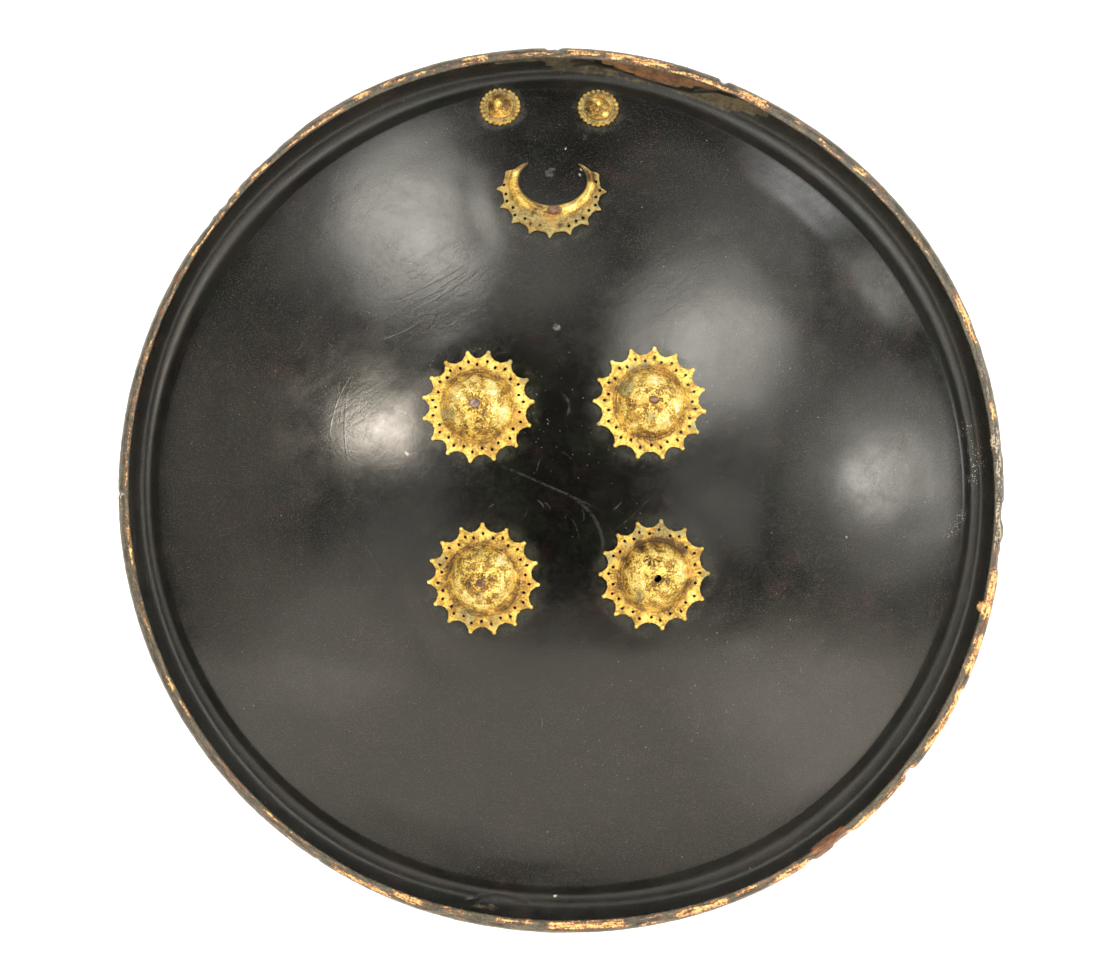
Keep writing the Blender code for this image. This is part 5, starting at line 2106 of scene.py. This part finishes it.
        # Open holes go black in the finish as painted shade; the corner beside the raised band is darkened
        # as painted shade
        groove = np.maximum(np.maximum(self._band_foot_shade(local) * 0.4, pierced), filled)
        crest_highlight = ease(local[:, 2], self.sheet + self.ridge_rise * 0.55, self.sheet + self.ridge_rise * 0.95)
        on_band = ease(local[:, 2], self.sheet + 0.0002, self.sheet + 0.0006)
        from_middle = np.hypot(local[:, 0] - self.opening_shift[0], local[:, 1] - self.opening_shift[1])
        phase = from_middle / self.line_pitch * math.tau + 2.0 * swell(local, 40.0, 9.0)
        lines = on_band * (0.5 - 0.5 * np.cos(phase))
        Bench.mark(piece, "groove", groove)
        local[:, 2] += swell(local, 170.0, 7.0) * 0.00022 * (local[:, 2] > self.sheet * 0.5)
        Bench.move(piece, FORM.bend_onto_face(local, self.seat, SEAT_GAP))
        # The crest is lighter: a painted highlight along the raised band
        light = 0.16 * crest_highlight - 0.06 * on_band - 0.14 * lines - 0.12
        Bench.tint(piece, light, 0.15 * on_band, 0.80 * (1 - on_band) + 0.38 * on_band)
        Bench.smooth(piece, 50.0)
        return piece

    def _band_foot_shade(self, local: np.ndarray) -> np.ndarray:
        """Return the painted shade in the corner beside the raised band."""
        return ease(np.abs(local[:, 2] - self.sheet + 0.00015), 0.0002, 0.00005) * 0.7


def area_lamp(
    name: str, shape: str, size: Place, radiance: float, colour: Sequence[float]
) -> bpy.types.Object:
    """Add a flat lamp.

    Args:
        name: Its name.
        shape: RECTANGLE or ELLIPSE.
        size: Its width and depth in metres.
        radiance: How bright its face is.
        colour: The colour of its light.

    Returns:
        The lamp, at the origin and facing down.
    """
    data = bpy.data.lights.new(name, "AREA")
    data.shape = shape
    data.size, data.size_y = size
    area = size[0] * size[1] * (math.pi / 4 if shape == "ELLIPSE" else 1.0)
    data.energy = radiance * math.pi * area
    data.color = colour
    lamp = bpy.data.objects.new(name, data)
    bpy.context.scene.collection.objects.link(lamp)
    return lamp


@dataclass(frozen=True)
class Softbox:
    """A square lamp over or beside the shield."""

    name: str
    place: tuple[float, float, float]
    size: Place
    radiance: float
    colour: tuple[float, float, float] = (1.0, 1.0, 1.0)
    mirrored: bool = False

    def hang(self) -> None:
        """Add the lamp, turned towards the shield's middle."""
        lamp = area_lamp(self.name, "RECTANGLE", self.size, self.radiance, self.colour)
        lamp.location = self.place
        lamp.visible_glossy = self.mirrored
        aim = Vector((0.0, 0.0, 0.0)) - lamp.location
        lamp.rotation_euler = aim.to_track_quat("-Z", "Y").to_euler()


@dataclass(frozen=True)
class Panel:
    """A flat lamp that faces straight down, so that the dome mirrors it as it lies.

    With more than one ring it is round and fades out from its middle.
    """

    name: str
    middle: Place
    size: Place
    radiance: float
    rings: int = 1
    turn: float = 0.0
    colour: tuple[float, float, float] = (1.0, 0.97, 0.87)
    ceiling: float = 2.0

    def hang(self) -> None:
        """Add the lamp, or one for each ring."""
        shape = "RECTANGLE" if self.rings == 1 else "ELLIPSE"
        for ring in range(self.rings):
            share = 1.0 - 0.75 * ring / self.rings
            size = (self.size[0] * share, self.size[1] * share)
            lamp = area_lamp(f"{self.name}_{ring}", shape, size, self.radiance / self.rings, self.colour)
            lamp.location = (self.middle[0], self.middle[1], self.ceiling + 0.01 * ring)
            lamp.rotation_euler = (0.0, 0.0, math.radians(self.turn))


@dataclass
class Studio:
    """The pale floor, the lamps and the camera."""

    floor_size: float = 12.0
    ambient: float = 0.05

    def build(self) -> None:
        """Set up everything round the shield."""
        self._lay_floor()
        self._hang_lamps()
        self._set_camera()
        self._set_sampling()

    def _lay_floor(self) -> None:
        """Lay a plain pale floor."""
        Bench.clear()
        bpy.ops.mesh.primitive_plane_add(size=self.floor_size)
        floor = bpy.context.object
        floor.name = "floor"
        floor.data.transform(Matrix.Translation((0.0, 0.0, -0.0003)))
        graph = Graph("pale_floor")
        pale = tone(252, 252, 252)
        finish = graph.finish(Base_Color=pale, Roughness=0.9, Emission_Color=WHITE, Emission_Strength=0.2)
        floor.data.materials.append(finish)

    def _hang_lamps(self) -> None:
        """Hang the lamps and set the ambient light."""
        world = bpy.data.worlds.new("studio")
        bpy.context.scene.world = world
        world.use_nodes = True
        background = world.node_tree.nodes["Background"]
        background.inputs["Color"].default_value = WHITE
        background.inputs["Strength"].default_value = self.ambient
        warm = (1.0, 0.91, 0.78)
        cool = (1.0, 0.99, 0.97)
        for panel in (
            Panel("front_ceiling", (0.0, -1.62), (6.0, 1.1), 2.1, turn=2.0, colour=warm),
            Panel("front_far", (0.0, -2.6), (6.0, 0.9), 1.5, turn=-1.5, colour=warm),
            Panel("front_near", (0.0, -1.0), (4.6, 0.5), 0.8, turn=-3.0, colour=warm),
            Panel("front_left", (-1.5, -1.0), (2.0, 1.3), 2.0, 3, 12.0, warm),
            Panel("front_right", (1.75, -1.5), (2.5, 1.5), 2.2, 3, -10.0, warm),
            Panel("left_fill", (-2.2, 0.1), (1.4, 3.0), 1.0, 3, 6.0, warm),
            Panel("right_fill", (2.25, 0.1), (1.6, 1.9), 3.0, 3, -8.0),
            Panel("middle_left", (-1.05, -0.4), (1.1, 1.0), 1.2, 3, 20.0),
            Panel("middle_right", (1.02, -0.2), (0.75, 0.9), 1.8, 3),
            Panel("left_window", (-0.98, 1.72), (1.0, 1.15), 12.5, 4, 25.0),
            Panel("left_window_edge", (-1.12, 1.78), (1.8, 1.9), 2.0, 3, 20.0),
            Panel("left_lamp", (-1.22, 0.46), (0.53, 0.56), 31.0, 3, 10.0, (1.0, 0.90, 0.76)),
            Panel("left_lamp_edge", (-1.10, 0.30), (1.0, 1.0), 1.4, 3, 10.0),
            Panel("right_window", (0.93, 0.98), (1.15, 1.2), 10.2, 4, -30.0),
            Panel("right_window_edge", (1.10, 0.95), (1.6, 1.7), 3.1, 3, -20.0),
            Panel("right_lamp", (2.14, 0.09), (0.27, 0.64), 23.0, 3, -15.0, ceiling=1.97),
            Panel("right_upper", (2.5, 1.6), (0.8, 0.7), 7.0, 3),
            Panel("back_right", (2.05, 2.55), (1.1, 1.1), 7.0, 3, colour=cool),
            Panel("back_left", (-1.25, 2.5), (1.0, 0.8), 4.5, 3, colour=cool),
            Panel("back_fill_left", (-1.5, 2.4), (1.8, 1.3), 0.8, 3),
            Panel("back_fill_right", (1.2, 2.0), (2.0, 1.4), 1.2, 3),
            Panel("back_middle", (-0.1, 1.55), (0.9, 1.0), 1.6, 3),
        ):
            panel.hang()
        for lamp in (
            Softbox("low_front", (0.0, -2.6, 1.3), (3.6, 1.2), 6.0, warm),
            Softbox("low_left", (-2.8, -0.4, 1.3), (2.6, 1.0), 3.6),
            Softbox("low_right", (2.8, -0.4, 1.3), (2.6, 1.0), 4.2),
            Softbox("low_back", (0.0, 2.9, 1.3), (3.0, 1.0), 4.0),
            Softbox("right_window_low", (2.6, 0.25, 0.6), (0.6, 0.5), 12.0, cool, True),
        ):
            lamp.hang()

    def _set_camera(self) -> None:
        """Set the camera above the shield, looking straight down."""
        data = bpy.data.cameras.new("portrait")
        data.sensor_fit = "HORIZONTAL"
        data.sensor_width = PORTRAIT.sensor
        data.lens = PORTRAIT.lens()
        data.clip_end = 60.0
        camera = bpy.data.objects.new("portrait", data)
        bpy.context.scene.collection.objects.link(camera)
        camera.location = PORTRAIT.camera
        bpy.context.scene.camera = camera
        bpy.context.scene.view_settings.view_transform = "Standard"
        bpy.context.scene.view_settings.look = "None"

    @staticmethod
    def _set_sampling() -> None:
        """Let a render leave a pixel once it is clean, and follow light through a few bounces."""
        cycles = bpy.context.scene.cycles
        cycles.use_adaptive_sampling = True
        cycles.adaptive_threshold = 0.04
        cycles.adaptive_min_samples = 12
        cycles.max_bounces = 4
        cycles.diffuse_bounces = 2
        cycles.glossy_bounces = 3


SCRATCHES = tuple(
    Scratch(*row)
    for row in (
        ((494, 463), (544, 484), (602, 511), 1.2, 0.055), ((566, 495), (596, 521), (598, 572), 1.7, 0.05),
        ((563, 513), (573, 521), (578, 540), 0.5, 0.035), ((561, 392), (569, 404), (565, 419), 1.3, 0.07),
        ((488, 508), (491, 506), (494, 504), 0.8, 0.10), ((536, 472), (538, 466), (540, 458), 0.7, 0.06),
        ((536, 500), (541, 503), (544, 508), 0.8, 0.09), ((543, 502), (547, 504), (551, 510), 0.7, 0.06),
        ((561, 451), (567, 455), (573, 461), 0.6, 0.035), ((582, 508), (584, 516), (583, 523), 0.6, 0.04),
        ((524, 517), (526, 514), (527, 511), 0.6, 0.04), ((612, 510), (617, 507), (622, 501), 0.8, 0.08),
        ((615, 530), (632, 516), (660, 488), 0.4, 0.03), ((362, 540), (372, 556), (380, 578), 0.5, 0.03),
        ((700, 300), (740, 330), (770, 372), 0.4, 0.02), ((820, 560), (800, 610), (760, 660), 0.4, 0.02),
        ((540, 714), (542, 720), (541, 730), 0.9, 0.05), ((822, 538), (834, 539), (846, 540), 0.6, 0.04),
        ((845, 537), (847, 537), (848, 537), 1.2, 0.5),
    )
)

CREASES = tuple(
    Scratch(*row)
    for row in (
        ((389, 302), (429, 285), (470, 260), 0.5, 1.0), ((466, 263), (480, 254), (500, 243), 0.5, 0.6),
        ((378, 324), (404, 308), (452, 285), 0.5, 0.9), ((404, 314), (440, 296), (476, 271), 0.5, 0.9),
        ((428, 281), (444, 270), (459, 261), 0.4, 0.8), ((432, 286), (450, 274), (466, 264), 0.4, 0.8),
        ((436, 290), (452, 280), (470, 268), 0.4, 0.7), ((387, 304), (404, 300), (426, 293), 0.4, 0.8),
        ((378, 340), (400, 333), (425, 319), 0.5, 0.8), ((434, 294), (437, 303), (436, 312), 0.5, 0.5),
        ((416, 273), (422, 275), (429, 272), 0.4, 0.6), ((388, 316), (394, 309), (400, 300), 0.4, 0.8),
        ((394, 315), (401, 307), (407, 298), 0.4, 0.8), ((400, 314), (407, 306), (413, 297), 0.4, 0.8),
        ((407, 311), (413, 304), (419, 296), 0.4, 0.7), ((329, 441), (336, 405), (355, 369), 0.55, 1.0),
        ((349, 465), (345, 412), (353, 376), 0.55, 1.0), ((337, 402), (338, 390), (340, 379), 0.4, 0.6),
        ((344, 405), (346, 397), (350, 388), 0.4, 0.7), ((340, 424), (344, 400), (353, 380), 0.4, 0.5),
        ((349, 450), (354, 452), (359, 453), 0.4, 0.6),
    )
)

SPECK_CLUSTERS = tuple(
    SpeckCluster(*row)
    for row in (
        ((966, 428), 12, 0.8), ((973, 446), 13, 0.85), ((977, 463), 14, 0.9), ((973, 480), 11, 0.85),
        ((963, 516), 9, 0.75), ((957, 526), 9, 0.7), ((949, 534), 10, 0.75), ((712, 392), 60, 0.03),
        ((790, 400), 70, 0.02), ((545, 430), 90, 0.025), ((536, 438), 14, 0.12), ((300, 330), 110, 0.012),
        ((640, 740), 100, 0.02), ((760, 650), 90, 0.02),
    )
)

BLEMISHES = tuple(
    Blemish(*row)
    for row in (
        ((557, 328), 5, 0.5), ((550, 172), 9, 0.3), ((553, 170), 4, 0.4), ((580, 170), 2.2, 1.0),
        ((579, 175), 2.0, 0.8), ((572, 173), 3.5, 0.3), ((707, 759), 4, 0.2), ((691, 740), 4, 0.2),
        ((406, 454), 2.4, 0.9), ((565, 149), 1.8, 1.0), ((585, 137), 6, 0.22), ((499, 236), 4, 0.22),
        ((670, 812), 30, 0.10), ((850, 680), 40, 0.10), ((555, 897), 2.6, 1.2),
    )
)

CREASED = tuple(
    SpeckCluster(*row)
    for row in (
        ((424, 290), 80, 1.0), ((345, 420), 50, 0.6), ((340, 215), 90, 0.5), ((668, 300), 90, 0.5),
    )
)


def main() -> None:
    """Build the pieces in order, dress them and set up the studio."""
    logging.basicConfig(level=logging.INFO, format="%(name)s %(relativeCreated)d: %(message)s")
    bores: list[tuple[Matrix, float]] = []
    pins: list[Pin] = []
    for plan in BOSS_PLANS:
        boss = RosetteBoss(plan)
        bores.append((boss.seat, boss.bore_radius))
        finish = GiltBrass("gilt_" + plan.place, plan.seed, lift=plan.lift)
        Bench.hand_in(boss.build(), "boss_" + plan.place, "gilt_brass", finish.material())
        if plan.head:
            pins.append(boss.pin())
    for small in SMALL_BOSS_PLANS:
        boss = SmallBoss(small)
        bores.append((boss.seat, boss.stem + BORE_ROOM))
        finish = GiltBrass("gilt_" + small.node, small.seed)
        Bench.hand_in(boss.build(), small.node, "gilt_brass", finish.material())
    crescent = Crescent()
    rivet = crescent.rivet()
    bores.append((rivet.seat, rivet.shank + BORE_ROOM))
    pins.append(rivet)
    finish = GiltBrass("gilt_crescent", 7.0)
    Bench.hand_in(crescent.build(), "crescent", "gilt_brass", finish.material())
    metals = {
        Metal.IRON: PinMetal(Metal.IRON, tone(182, 160, 152), tone(108, 90, 84)).material(),
        Metal.COPPER: PinMetal(Metal.COPPER, tone(160, 124, 106), tone(98, 75, 64)).material(),
    }
    for pin in pins:
        Bench.hand_in(pin.build(), pin.node, pin.metal.value, metals[pin.metal])
    lacquer = LacqueredHide(
        boss_places=tuple(plan.centre for plan in BOSS_PLANS),
        small_places=tuple(FORM.polar_place(plan.direction, plan.inset) for plan in SMALL_BOSS_PLANS),
        scratches=SCRATCHES,
        creases=CREASES,
        clusters=SPECK_CLUSTERS,
        blemishes=BLEMISHES,
    )
    Bench.hand_in(HideShell(bores=bores).build(), "hide_shell", "lacquered_hide", lacquer.material())
    Studio().build()


if __name__ == "__main__":
    main()
